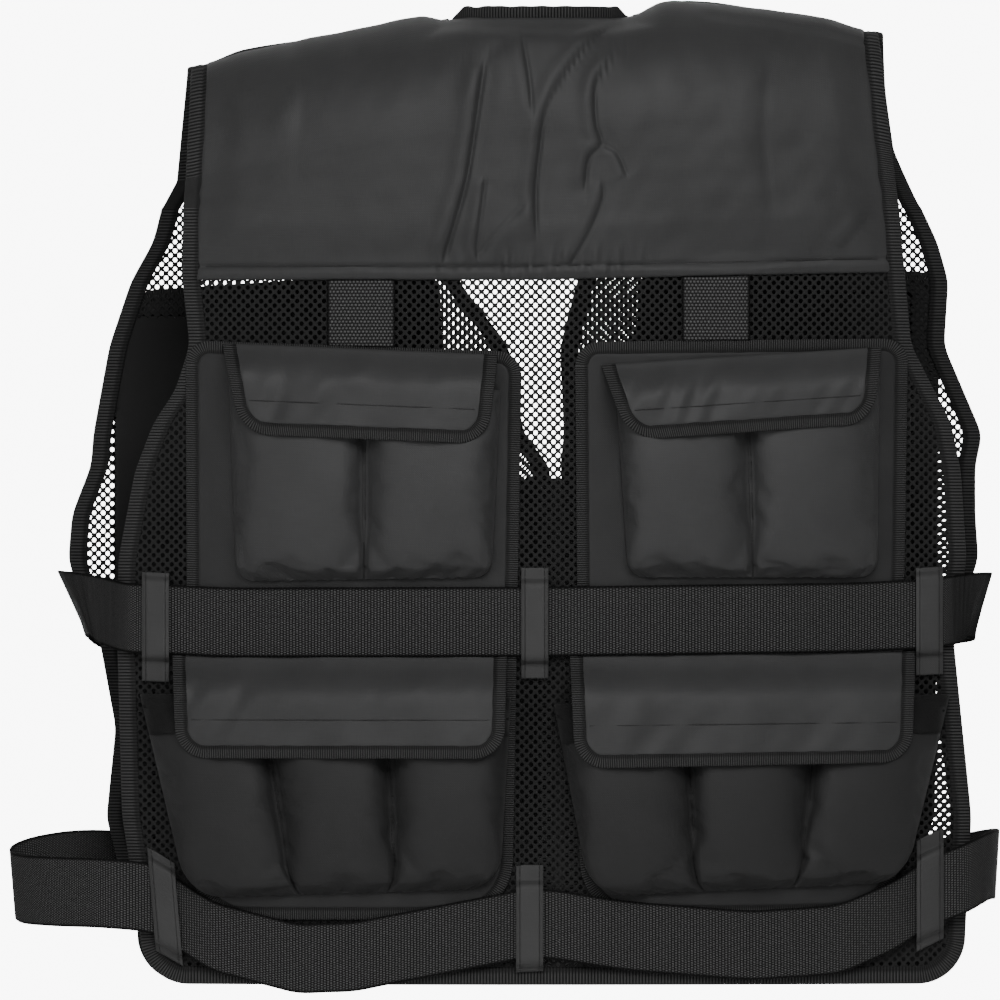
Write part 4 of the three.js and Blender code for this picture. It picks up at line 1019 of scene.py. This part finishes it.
back_l = side_line(BACK_EDGE, 1, -1, 1)
back_r = side_line(BACK_EDGE, 2, 1, -1)
back_hem = hem_line(back_l[-1, 0] + HEM_ROUND + 0.004, back_r[-1, 0] - HEM_ROUND - 0.004)
around = [back_l, corner_line(back_l[-1, 0], -1), back_hem, corner_line(back_r[-1, 0], 1)[::-1], back_r[::-1]]
edge_tape("back_edge_tape", -1, np.concatenate(around), YOKE_FOOT * LENGTH)
for name, column, inner, sign in (("front_edge_tape_left", 1, 3, -1), ("front_edge_tape_right", 2, 4, 1)):
    outer = side_line(FRONT_EDGE, column, sign, -sign)
    near = side_line(FRONT_EDGE, inner, 1, sign)
    end_x = near[-1, 0]
    foot_line = hem_line(outer[-1, 0] - sign * (HEM_ROUND + 0.004), end_x + sign * 0.02)
    last = np.array([[end_x, HEM * LENGTH, end_x + sign * TAPE, HEM * LENGTH - TAPE]])
    around = [outer, corner_line(outer[-1, 0], sign), foot_line, last, near[::-1]]
    edge_tape(name, 1, np.concatenate(around), FRONT_YOKE_FOOT * LENGTH)
print("edge tapes: 3")


# %% Neck tape
NECK_TURN, NECK_THICK, NECK_TALL = 1.40, 0.0024, 0.0095  # how far it turns to each side, and its size


def neck_tape():
    """Tape standing on the neckline: a rounded upright outline carried along half an ellipse."""
    angle = np.linspace(-NECK_TURN, NECK_TURN, 90)
    share = np.sin(angle)
    x = share * (NECK_HALF - 0.0015)
    y = -NECK_REACH * np.sqrt(1 - share**2) * 0.94
    nx, ny = x / NECK_HALF**2, y / NECK_REACH**2
    n = np.hypot(nx, ny)
    turn = np.linspace(0, math.tau, 16, endpoint=False)
    up = 0.5 + 0.5 * np.sign(np.sin(turn)) * np.abs(np.sin(turn)) ** 0.5
    inn = 0.5 + 0.5 * np.sign(np.cos(turn)) * np.abs(np.cos(turn)) ** 0.7
    wobble = 0.0003 * waves(x, y, 0.012, 51)[:, None]
    px = x[:, None] - NECK_THICK * inn * (nx / n)[:, None]
    py = y[:, None] - NECK_THICK * inn * (ny / n)[:, None]
    tall = NECK_TALL * (0.3 + 0.7 * ease((NECK_TURN - np.abs(angle)) / 0.4))[:, None]
    pz = ridge(x)[:, None] + 0.001 + tall * up + wobble
    gone = np.concatenate([[0], np.cumsum(np.hypot(np.diff(x), np.diff(y)))])
    uv = np.stack([gone[:, None] + 0 * up, 0.55 * (1 - up) + 0 * gone[:, None]], -1)
    tape = sweep("neck_tape_ribs", np.stack([px, py, pz], -1), uv, EDGE)
    return finish(tape, "neck_tape")


neck_tape()
print("neck tape: 1")

# %% [markdown]
# ## Panels and flaps
# A panel is plain cloth bound with tape all round. A flap is sewn on at its head, rises over the pocket
# below it, and is bound on three sides; a sewn line across it holds its fastening strip.

# %% Panels
for name, row in PANELS.items():
    side = -1 if name.startswith("back") else 1
    flat = lambda a, b: PANEL_OFF + 0 * a
    inset, rounds = (0.0078, 0.0078, 0.0078), (0.0085, 0.032)
    cloth = patch(name + "_panel_cloth", row, side, inset, rounds, flat, PANEL_CLOTH, step=0.004, seed=61)
    finish(cloth, name + "_panel")
    rounds = (0.016, 0.040)
    tape = bound(name + "_panel_ribs", row, side, PANEL_TAPE, rounds, True, flat, 0.0, CLOTH, seed=62)
    finish(tape, name + "_panel_tape", replaces=side < 0)
    wide, tall, _ = framed(row, side)
print("panels:", len(PANELS))


# %% Flaps
# How far a flap has risen, by metres from its head
RISE_TABLE = np.array([(0, 0), (0.007, 0.35), (0.016, 0.85), (0.024, 1), (0.2, 1)])
RISE_STEPS = np.linspace(-0.006, 0.006, 5)


def folds(a, b, seed):
    """Slanting folds: strong ones near the upper left corner, faint ones elsewhere."""
    corner = np.exp(-((a / 0.075) ** 2) - ((b - 0.02) / 0.05) ** 2)
    return (0.0004 + 0.0016 * corner) * waves(a + 0.6 * b, 0.3 * b, 0.02, seed + 5)


def flap_height(clear, wide, channels, seed):
    """Way off the net: a rise from the head, soft humps over the channels, and a wavy lower edge."""
    def height(a, b):
        rise = sum(np.interp(b + s, RISE_TABLE[:, 0], RISE_TABLE[:, 1]) for s in RISE_STEPS) / len(RISE_STEPS)
        hump = 0.0016 * np.cos(math.tau * channels * (a / wide - 0.5 / channels)) * ease((b - 0.018) / 0.03)
        sway = ease(b / 0.02) * (0.0012 * waves(a, b, 0.07, seed) + folds(a, b, seed))
        return POCKET_OFF - 0.0016 * ease(-b / 0.006) + clear * rise + hump + sway
    return height


def flap(name, kind, row, clear, channels, mark, seed):
    """Flap with its tape and its line of thread. A lower flap's head is tucked under the waist belt."""
    side = -1 if name.startswith("back") else 1
    tuck, material = (0.007, LOWER_FLAP_CLOTH) if kind == "lower" else (0.0, POCKET_CLOTH)
    wide, tall, place = framed(row, side)
    height = flap_height(clear, wide, channels, seed)
    node = name + "_" + kind + "_flap"
    inset, rounds = (-tuck, 0.008, 0.008), (0, 0.0125)
    cloth = patch(node + "_cloth", row, side, inset, rounds, height, material, step=0.0035, seed=seed)
    finish(cloth, node)
    rounds, low, high = (-tuck, 0.020), -0.0004, CLOTH + 0.0004
    tape = bound(node + "_ribs", row, side, PANEL_TAPE, rounds, False, height, low, high, seed=seed)
    finish(tape, node + "_tape", replaces=side < 0)
    a = np.linspace(0.012, wide - 0.012, 60)
    b = 0 * a + tall * mark
    line = sewn(place, a, b, height(a, b) + CLOTH + 0.0001)
    seams = finish(stitches(node + "_thread", [line]), node, replaces=False)


for k, name in enumerate(UPPER_FLAPS):
    flap(name, "upper", UPPER_FLAPS[name], UPPER_FILL + 0.003, 2, 0.62, 70 + k)
    flap(name, "lower", LOWER_FLAPS[name], LOWER_FILL + 0.005, 3, 0.60, 80 + k)
print("flaps:", 2 * len(UPPER_FLAPS))

# %% [markdown]
# ## Filled pockets
# A pocket starts as smooth channels side by side. A cloth simulation then blows it up from inside while
# its sewn edges stay put; the cloth is cut a little too large, so it wrinkles along its seams.
# How far each point may move is capped, which keeps the result the same size as the part.

# %% Pocket cloth
# How thick a pocket is, by the share of the way down it
DOWN_TABLE = np.array([(0, 0.5), (0.15, 0.82), (0.5, 1), (0.9, 0.75), (0.965, 0.42), (1, 0.06)])


def settle(obj, pins, pressure, grow, most, frames=20):
    """Cloth simulation without weight: pins stay, air pushes from inside, the cloth grows by a share.
    Movement is then capped softly: most times the hyperbolic tangent of its length over most."""
    count = len(obj.data.vertices)
    before = np.empty(count * 3)
    obj.data.vertices.foreach_get("co", before)
    before = before.reshape(-1, 3)
    held = obj.vertex_groups.new(name="held")
    held.add([int(k) for k in np.flatnonzero(pins)], 1.0, "REPLACE")
    cloth = obj.modifiers.new("cloth", "CLOTH")
    cloth.settings.quality = 6
    cloth.settings.mass = 0.25
    cloth.settings.vertex_group_mass = "held"
    cloth.settings.use_pressure = True
    cloth.settings.uniform_pressure_force = pressure
    cloth.settings.shrink_min = -grow
    cloth.settings.bending_stiffness = 0.3
    cloth.settings.effector_weights.gravity = 0
    cloth.collision_settings.use_collision = False
    cloth.point_cache.frame_start = 1
    cloth.point_cache.frame_end = frames
    for frame_number in range(1, frames + 1):
        bpy.context.scene.frame_set(frame_number)
    done = obj.evaluated_get(bpy.context.evaluated_depsgraph_get())
    after = np.empty(count * 3)
    done.data.vertices.foreach_get("co", after)
    obj.modifiers.remove(cloth)
    obj.vertex_groups.clear()
    bpy.context.scene.frame_set(1)
    move = after.reshape(-1, 3) - before
    size = np.linalg.norm(move, axis=1, keepdims=True) + 1e-9
    return move * (most * np.tanh(size / most) / size)


MOVES = {}


def pocket(name, kind, row, channels, fill, material):
    """Filled pocket: each channel a sine to a low power, times the run down it. Then the cloth settles."""
    side = -1 if name.startswith("back") else 1
    wide, tall, place = framed(row, side)
    rows = len(np.arange(0, tall, 0.0032)) + 6
    foot = 0.9 + 0.1 * np.sin(np.linspace(0, math.pi / 2, 11))[1:]
    share_b = np.concatenate([np.linspace(0, 0.9, rows - 10), foot])[:, None]
    per = 22 if channels == 2 else 17
    local = 0.5 - 0.5 * np.cos(np.linspace(0, math.pi, per + 1))
    local = 0.6 * local + 0.4 * np.linspace(0, 1, per + 1)
    share_a = np.concatenate([(c + local[:-1]) / channels for c in range(channels)] + [[1.0]])[None, :]
    down = curve(DOWN_TABLE, 0.01)[0]
    b = share_b * tall
    cut = corner_cut(tall - b, 0.012 if channels == 2 else 0.024)
    a = mix(cut, wide - cut, share_a)
    b = b + 0 * a
    arch = 0.08 + 0.92 * np.abs(np.sin(math.pi * channels * share_a)) ** ARCH_POWER
    height = POCKET_OFF + CLOTH + fill * arch * np.interp(share_b, down[:, 0], down[:, 1])
    outer, inner = place(a, b, height), place(a, b, POCKET_OFF + 0 * a)
    node = name + "_" + kind + "_pocket"
    obj = wall(node + "_cloth", outer, inner, np.stack([a, b], -1), material)
    size = outer.shape[0] * outer.shape[1]
    if side < 0:
        seam = np.zeros(outer.shape[:2], bool)
        seam[:, ::per] = True
        seam[0], seam[-1] = True, True
        pins = np.concatenate([seam.ravel(), np.ones(size, bool)])
        MOVES[name + kind] = settle(obj, pins, pressure=4.0, grow=0.035, most=0.0035)
    else:
        move = MOVES[name.replace("front", "back") + kind] * [1, -1, 1]
        MOVES[name + kind] = move if len(move) == 2 * size else np.zeros((2 * size, 3))
    co = np.concatenate([outer.reshape(-1, 3), inner.reshape(-1, 3)]) + MOVES[name + kind]
    obj.data.vertices.foreach_set("co", co.astype(np.float32).ravel())
    obj.data.update()
    finish(obj, node)
    return co[:size].reshape(outer.shape), per, side, wide, tall


POCKETS = {}
for name in UPPER_POCKETS:
    upper, lower = UPPER_POCKETS[name], LOWER_POCKETS[name]
    POCKETS[name, "upper"] = pocket(name, "upper", upper, 2, UPPER_FILL, POCKET_CLOTH)
    # The lower pockets' darker nylon is painted shade
    POCKETS[name, "lower"] = pocket(name, "lower", lower, 3, LOWER_FILL, SHADED_POCKET_CLOTH)
most = max(float(np.abs(move).max()) for move in MOVES.values())
print("pockets:", len(POCKETS), "moved at most", round(most * 1000, 1), "mm")


# %% Mouth strips and pocket seams
for name in ("back_left", "back_right"):
    grid, per, side, wide, tall = POCKETS[name, "lower"]
    rows = int(MOUTH / (0.9 * tall / (grid.shape[0] - 12))) + 1
    lift = np.array([0.0, side, 0.0])
    part = grid[:rows]
    along, down = np.linspace(0, wide, part.shape[1])[None, :], np.linspace(0, MOUTH, rows)[:, None]
    uv = np.stack(np.broadcast_arrays(along, down), -1)
    strip = wall(name + "_mouth_strip_felt", part + lift * 0.0016, part + lift * 0.0007, uv, STRIP)
    finish(strip, name + "_mouth_strip")
for (name, kind), (grid, per, side, wide, tall) in POCKETS.items():
    lift = np.array([0.0, side * 0.001, 0.0])
    lines = []
    for column in range(per, grid.shape[1] - 1, per):
        for step in (-1, 1):
            line = grid[2:-1, column] * 0.75 + grid[2:-1, column + step] * 0.25 + lift * 0.3
            lines.append((line, line + lift))
    node = name + "_" + kind + "_pocket"
    finish(stitches(node + "_thread", lines), node, replaces=False)
print("mouth strips: 2, sewn pockets:", len(POCKETS))

# %% [markdown]
# ## Belts, tabs and keepers
# A belt is one long sweep. It lies on the front and the back, and bows out between them;
# lean turns its width outwards at the top. Its ends overlap at the front.

# %% Belts
# Outline of a strap: height across its width, and thickness
UP = np.array([-1, -1, -0.985, -0.94, -0.5, 0, 0.5, 0.94, 0.985, 1, 1, 0.985, 0.94, 0, -0.94, -0.985])
OUT = np.array([0.3, 0.7, 0.92, 1, 1, 1, 1, 1, 0.92, 0.7, 0.3, 0.08, 0, 0, 0, 0.08])


def belt_line(left, right, sag):
    """Middle line of a belt: x, y, z and lean, from its front end round the back to the end on top of it."""
    def flat(start, end, off, sign, column, count):
        x = np.linspace(start, end, count)
        return np.stack([x, sign * (depth(x) + off), -read(sag, column, x / HALF) * LENGTH, 0 * x], -1)

    def bow(rows):
        return rows * [HALF, HALF, -LENGTH, 1]

    lap, over = 0.072, BELT_OFF + 0.0026
    return np.concatenate([
        flat(lap, -1.05 * HALF, BELT_OFF, 1, 2, 18), bow(left)[::-1],
        flat((left[0, 0] + 0.09) * HALF, (right[-1, 0] - 0.09) * HALF, BELT_OFF, -1, 1, 26), bow(right)[::-1],
        flat(1.05 * HALF, lap + 0.022, BELT_OFF, 1, 2, 10), flat(lap + 0.006, -lap, over, 1, 2, 8),
    ])


def belt(name, left, right, sag, seed):
    """Belt of webbing: a flat rounded outline, 46 mm wide, on every point of the line."""
    line, gone = curve(belt_line(left, right, sag), 0.005)
    way = np.gradient(line[:, :2], axis=0)
    way = way / np.linalg.norm(way, axis=1)[:, None]
    nx, ny = -way[:, 1], way[:, 0]
    flip = np.sign(nx * line[:, 0] + ny * line[:, 1] * 4)
    nx, ny = nx * flip, ny * flip
    wz = 1 / np.hypot(1, line[:, 3])
    wo = line[:, 3] * wz
    half = WEBBING / 2
    slow = 0.0005 * waves(gone, 0 * gone, 0.05, seed)[:, None]
    shake = slow + 0.0003 * waves(gone, 0 * gone, 0.017, seed + 1)[:, None] * UP
    out = UP * half * wo[:, None] + OUT * 0.002 + np.maximum(shake, -0.0004)
    rings = np.stack([
        line[:, 0:1] + nx[:, None] * out,
        line[:, 1:2] + ny[:, None] * out,
        line[:, 2:3] + UP * half * wz[:, None],
    ], -1)
    uv = np.stack([gone[:, None] + 0 * UP, UP * half + 0 * gone[:, None]], -1)
    return finish(sweep(name + "_webbing", rings, uv, BELT), name)


belt("waist_belt", WAIST_LEFT, WAIST_RIGHT, WAIST_SAG, 101)
belt("hem_belt", HEM_LEFT, HEM_RIGHT, HEM_SAG, 103)
print("belts: 2")


# %% Tabs
def tab(name, across, row):
    """Webbing from the foot of the yoke to the head of a panel, tucked under both."""
    columns = np.concatenate([[-1, -0.985, -0.95], np.linspace(-0.9, 0.9, 20), [0.95, 0.985, 1]])[None, :]
    x = across * HALF + TAB_HALF * columns
    share = (x / HALF - row[0]) / (row[2] - row[0])
    head = yoke_foot(x) + 0.0004
    foot = mix(row[4], row[5], share) * LENGTH + 0.0002
    d = mix(head, foot, np.linspace(0, 1, 24)[:, None])
    x = x + 0 * d
    edge = TAB_HALF - np.abs(x - across * HALF)
    thick = 0.0019 * thinned(edge, 0.0014, 0.4) + 0.0002 * waves(x, d, 0.03, 111)
    uv = np.stack([d, x - across * HALF], -1)
    obj = wall(name + "_webbing", skin(-1, x, d, PANEL_OFF + thick), skin(-1, x, d, PANEL_OFF), uv, TAB)
    return finish(obj, name)


tab("back_tab_left", -0.518, PANELS["back_left"])
tab("back_tab_right", 0.51, PANELS["back_right"])
print("tabs: 2")


# %% Keepers
def keeper(name, across, kind, above, below, slant):
    """Loop of cloth over a belt: up from the panel, across the belt and down again."""
    sag = WAIST_SAG if kind == "waist" else HEM_SAG
    half, reach = WEBBING / 2, 0.003 if kind == "hem" else 0.0025
    over = OVER_BELT + (0.0018 if kind == "hem" else 0.0008)
    path = np.array([
        (-half - above - reach, PANEL_OFF), (-half - reach - 0.0015, PANEL_OFF),
        (-half - reach + 0.001, over), (half + reach - 0.001, over),
        (half + reach + 0.0015, PANEL_OFF), (half + below + reach, PANEL_OFF),
    ])
    line, gone = follow(path, 0.0012)
    line = smoothed(line, 4)
    way = np.gradient(line, axis=0)
    way = way / np.linalg.norm(way, axis=1)[:, None]
    w = np.array([-1, -1, -0.97, -0.5, 0, 0.5, 0.97, 1, 1, 0.97, 0, -0.97])
    h = np.array([0.3, 0.7, 1, 1, 1, 1, 1, 0.7, 0.3, 0, 0, 0])
    x = across * HALF + KEEPER_HALF * w[None, :] + 0 * gone[:, None]
    d = read(sag, 1, x / HALF) * LENGTH + line[:, 0:1] - way[:, 1:2] * CLOTH * h
    x = x + slant * line[:, 0:1]
    off = line[:, 1:2] + way[:, 0:1] * CLOTH * h
    uv = np.stack([x, gone[:, None] + 0 * x], -1)
    obj = sweep(name + "_cloth", skin(-1, x, d, off), uv, KEEPER_CLOTH)
    finish(obj, name)
    lines = []
    for side in (-0.72, 0.72):
        px = across * HALF + KEEPER_HALF * side + 0 * gone
        pd = read(sag, 1, px / HALF) * LENGTH + line[:, 0] - way[:, 1] * (CLOTH + 0.0001)
        po = line[:, 1] + way[:, 0] * (CLOTH + 0.0001)
        px = px + slant * line[:, 0]
        above_line = skin(-1, px, pd - way[:, 1] * 0.001, po + way[:, 0] * 0.001)
        lines.append((skin(-1, px, pd, po), above_line))
    finish(stitches(name + "_thread", lines), name, replaces=False)


for name, row in KEEPERS.items():
    keeper(name, *row)
print("keepers:", len(KEEPERS))


# %% Closure and yoke seams
def closure():
    """Plain closure down the front."""
    d = spread(0.475 * LENGTH, 0.975 * LENGTH, 0.005)[:, None]
    share = spread(0, 1, 0.12, fine=0.1)[None, :]
    x = mix(-0.02, 0.13, share) * HALF + 0 * d
    d = d + 0 * x
    edge = np.minimum(share, 1 - share) * 0.15 * HALF + 0 * d
    thick = CLOTH * thinned(edge, 0.0012, 0.35)
    base = PANEL_OFF + 0.0003
    outer, inner = skin(1, x, d, base + thick), skin(1, x, d, base + 0 * x)
    obj = wall("front_closure_cloth", outer, inner, np.stack([x, d], -1), KEEPER_CLOTH)
    finish(obj, "front_closure")


closure()
x = np.linspace(-0.22, 0.222, 160)
d = yoke_foot(x) - 0.0092
seams = stitches("yoke_thread", [sewn(lambda p, q, off: skin(-1, p, q, off), x, d, PANEL_OFF + PAD * 0.42)])
finish(seams, "back_yoke", replaces=False)
print("closure and yoke seam: 2")

# %% [markdown]
# ## Stage, light and camera
# A pale wall and floor in one sweep, one broad light from above and in front, and a soft fill. The part of
# the wall that the camera sees glows. The camera looks level at the middle of the picture through a long
# lens, so that nothing is spread by nearness.

# %% Stage
GLOW = 8.0
CAMERA_AWAY = 20.0
PICTURE = 0.66  # width of the picture, at the back of the vest


def stage():
    """Backdrop: a floor that bends up into a wall behind the vest, clear to a view from its far side."""
    bend, bend_start, floor = 1.5, 1.2, 0.95
    x = np.linspace(-6, 6, 9)[None, :]
    angle = np.linspace(0, math.pi / 2, 16)[:, None]
    y = np.concatenate([[[-8.0]], bend_start + bend * np.sin(angle), [[bend_start + bend]]])
    z = np.concatenate([[[0.0]], bend * (1 - np.cos(angle)), [[7.0]]]) - floor
    points = np.stack(np.broadcast_arrays(x, y, z), -1)
    material, tree, shader, uv = begin("Backdrop")
    dust = add(tree, "ShaderNodeTexNoise", {"Vector": uv, "Scale": 2.0})
    tone(tree, shader, dust.outputs[0], (0.9, 0.9, 0.9, 1), (0.94, 0.94, 0.94, 1))
    part = add(tree, "ShaderNodeSeparateXYZ", {0: uv})
    away = calc(tree, "ABSOLUTE", part.outputs[0])
    rise = add(tree, "ShaderNodeMapRange", {0: part.outputs[1], 1: 1.6, 2: 1.95, 3: 0.0, 4: GLOW})
    fall = add(tree, "ShaderNodeMapRange", {0: part.outputs[1], 1: 2.66, 2: 2.7, 3: 1.0, 4: 0.0})
    near = add(tree, "ShaderNodeMapRange", {0: away, 1: 0.6, 2: 0.9, 3: 1.0, 4: 0.0})
    band = calc(tree, "MULTIPLY", rise.outputs[0], fall.outputs[0])
    tree.links.new(calc(tree, "MULTIPLY", band, near.outputs[0]), shader.inputs["Emission Strength"])
    put(shader, Roughness=0.9, Emission_Color=(1, 1, 1, 1))
    clear = add(tree, "ShaderNodeBsdfTransparent")
    face = add(tree, "ShaderNodeNewGeometry")
    sides = {0: face.outputs["Backfacing"], 1: shader.outputs[0], 2: clear.outputs[0]}
    seen = add(tree, "ShaderNodeMixShader", sides)
    end = next(node for node in tree.nodes if node.type == "OUTPUT_MATERIAL")
    tree.links.new(seen.outputs[0], end.inputs["Surface"])
    faces = cells(points.shape[0], points.shape[1])
    obj = make("backdrop", points, faces, points[..., :2].reshape(-1, 2), material)
    if obj.data.polygons[0].normal.z < 0:
        obj.data.flip_normals()
    obj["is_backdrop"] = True


def area_light(name, place, aim, size, power):
    """Square light at a place, turned to its aim."""
    light = bpy.data.lights.new(name, "AREA")
    light.shape, light.size, light.energy = "SQUARE", size, power
    obj = bpy.data.objects.new(name, light)
    bpy.context.collection.objects.link(obj)
    obj.location = place
    way = np.asarray(aim, float) - place
    way = way / np.linalg.norm(way)
    obj.rotation_euler = (math.acos(-way[2]), 0, math.atan2(way[1], way[0]) - math.pi / 2)


stage()
area_light("key", np.array([0.35, -2.4, 1.25]), (0, 0, -0.3), 1.6, 60)
area_light("fill", np.array([-1.6, -2.4, 0.2]), (0, 0, -0.35), 2.0, 22)
world = bpy.data.worlds.new("World")
bpy.context.scene.world = world
world.use_nodes = True
world.node_tree.nodes["Background"].inputs[0].default_value = (1, 1, 1, 1)
world.node_tree.nodes["Background"].inputs[1].default_value = 0.25

camera_data = bpy.data.cameras.new("camera")
camera_data.sensor_width = 36
camera_data.lens = 36 * (CAMERA_AWAY - 0.085) / PICTURE
camera = bpy.data.objects.new("camera", camera_data)
bpy.context.collection.objects.link(camera)
camera.location = (-0.0264, -CAMERA_AWAY, -0.3234)
camera.rotation_euler = (math.pi / 2, 0, 0)
bpy.context.scene.camera = camera
print("stage, 2 lights and camera")

# %% Sizes and end
def plain(bounds):
    """Bounds as plain lists."""
    return [[float(v) for v in corner] for corner in bounds]


{"cad": plain(cad_bounds), "visual": plain(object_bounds())}
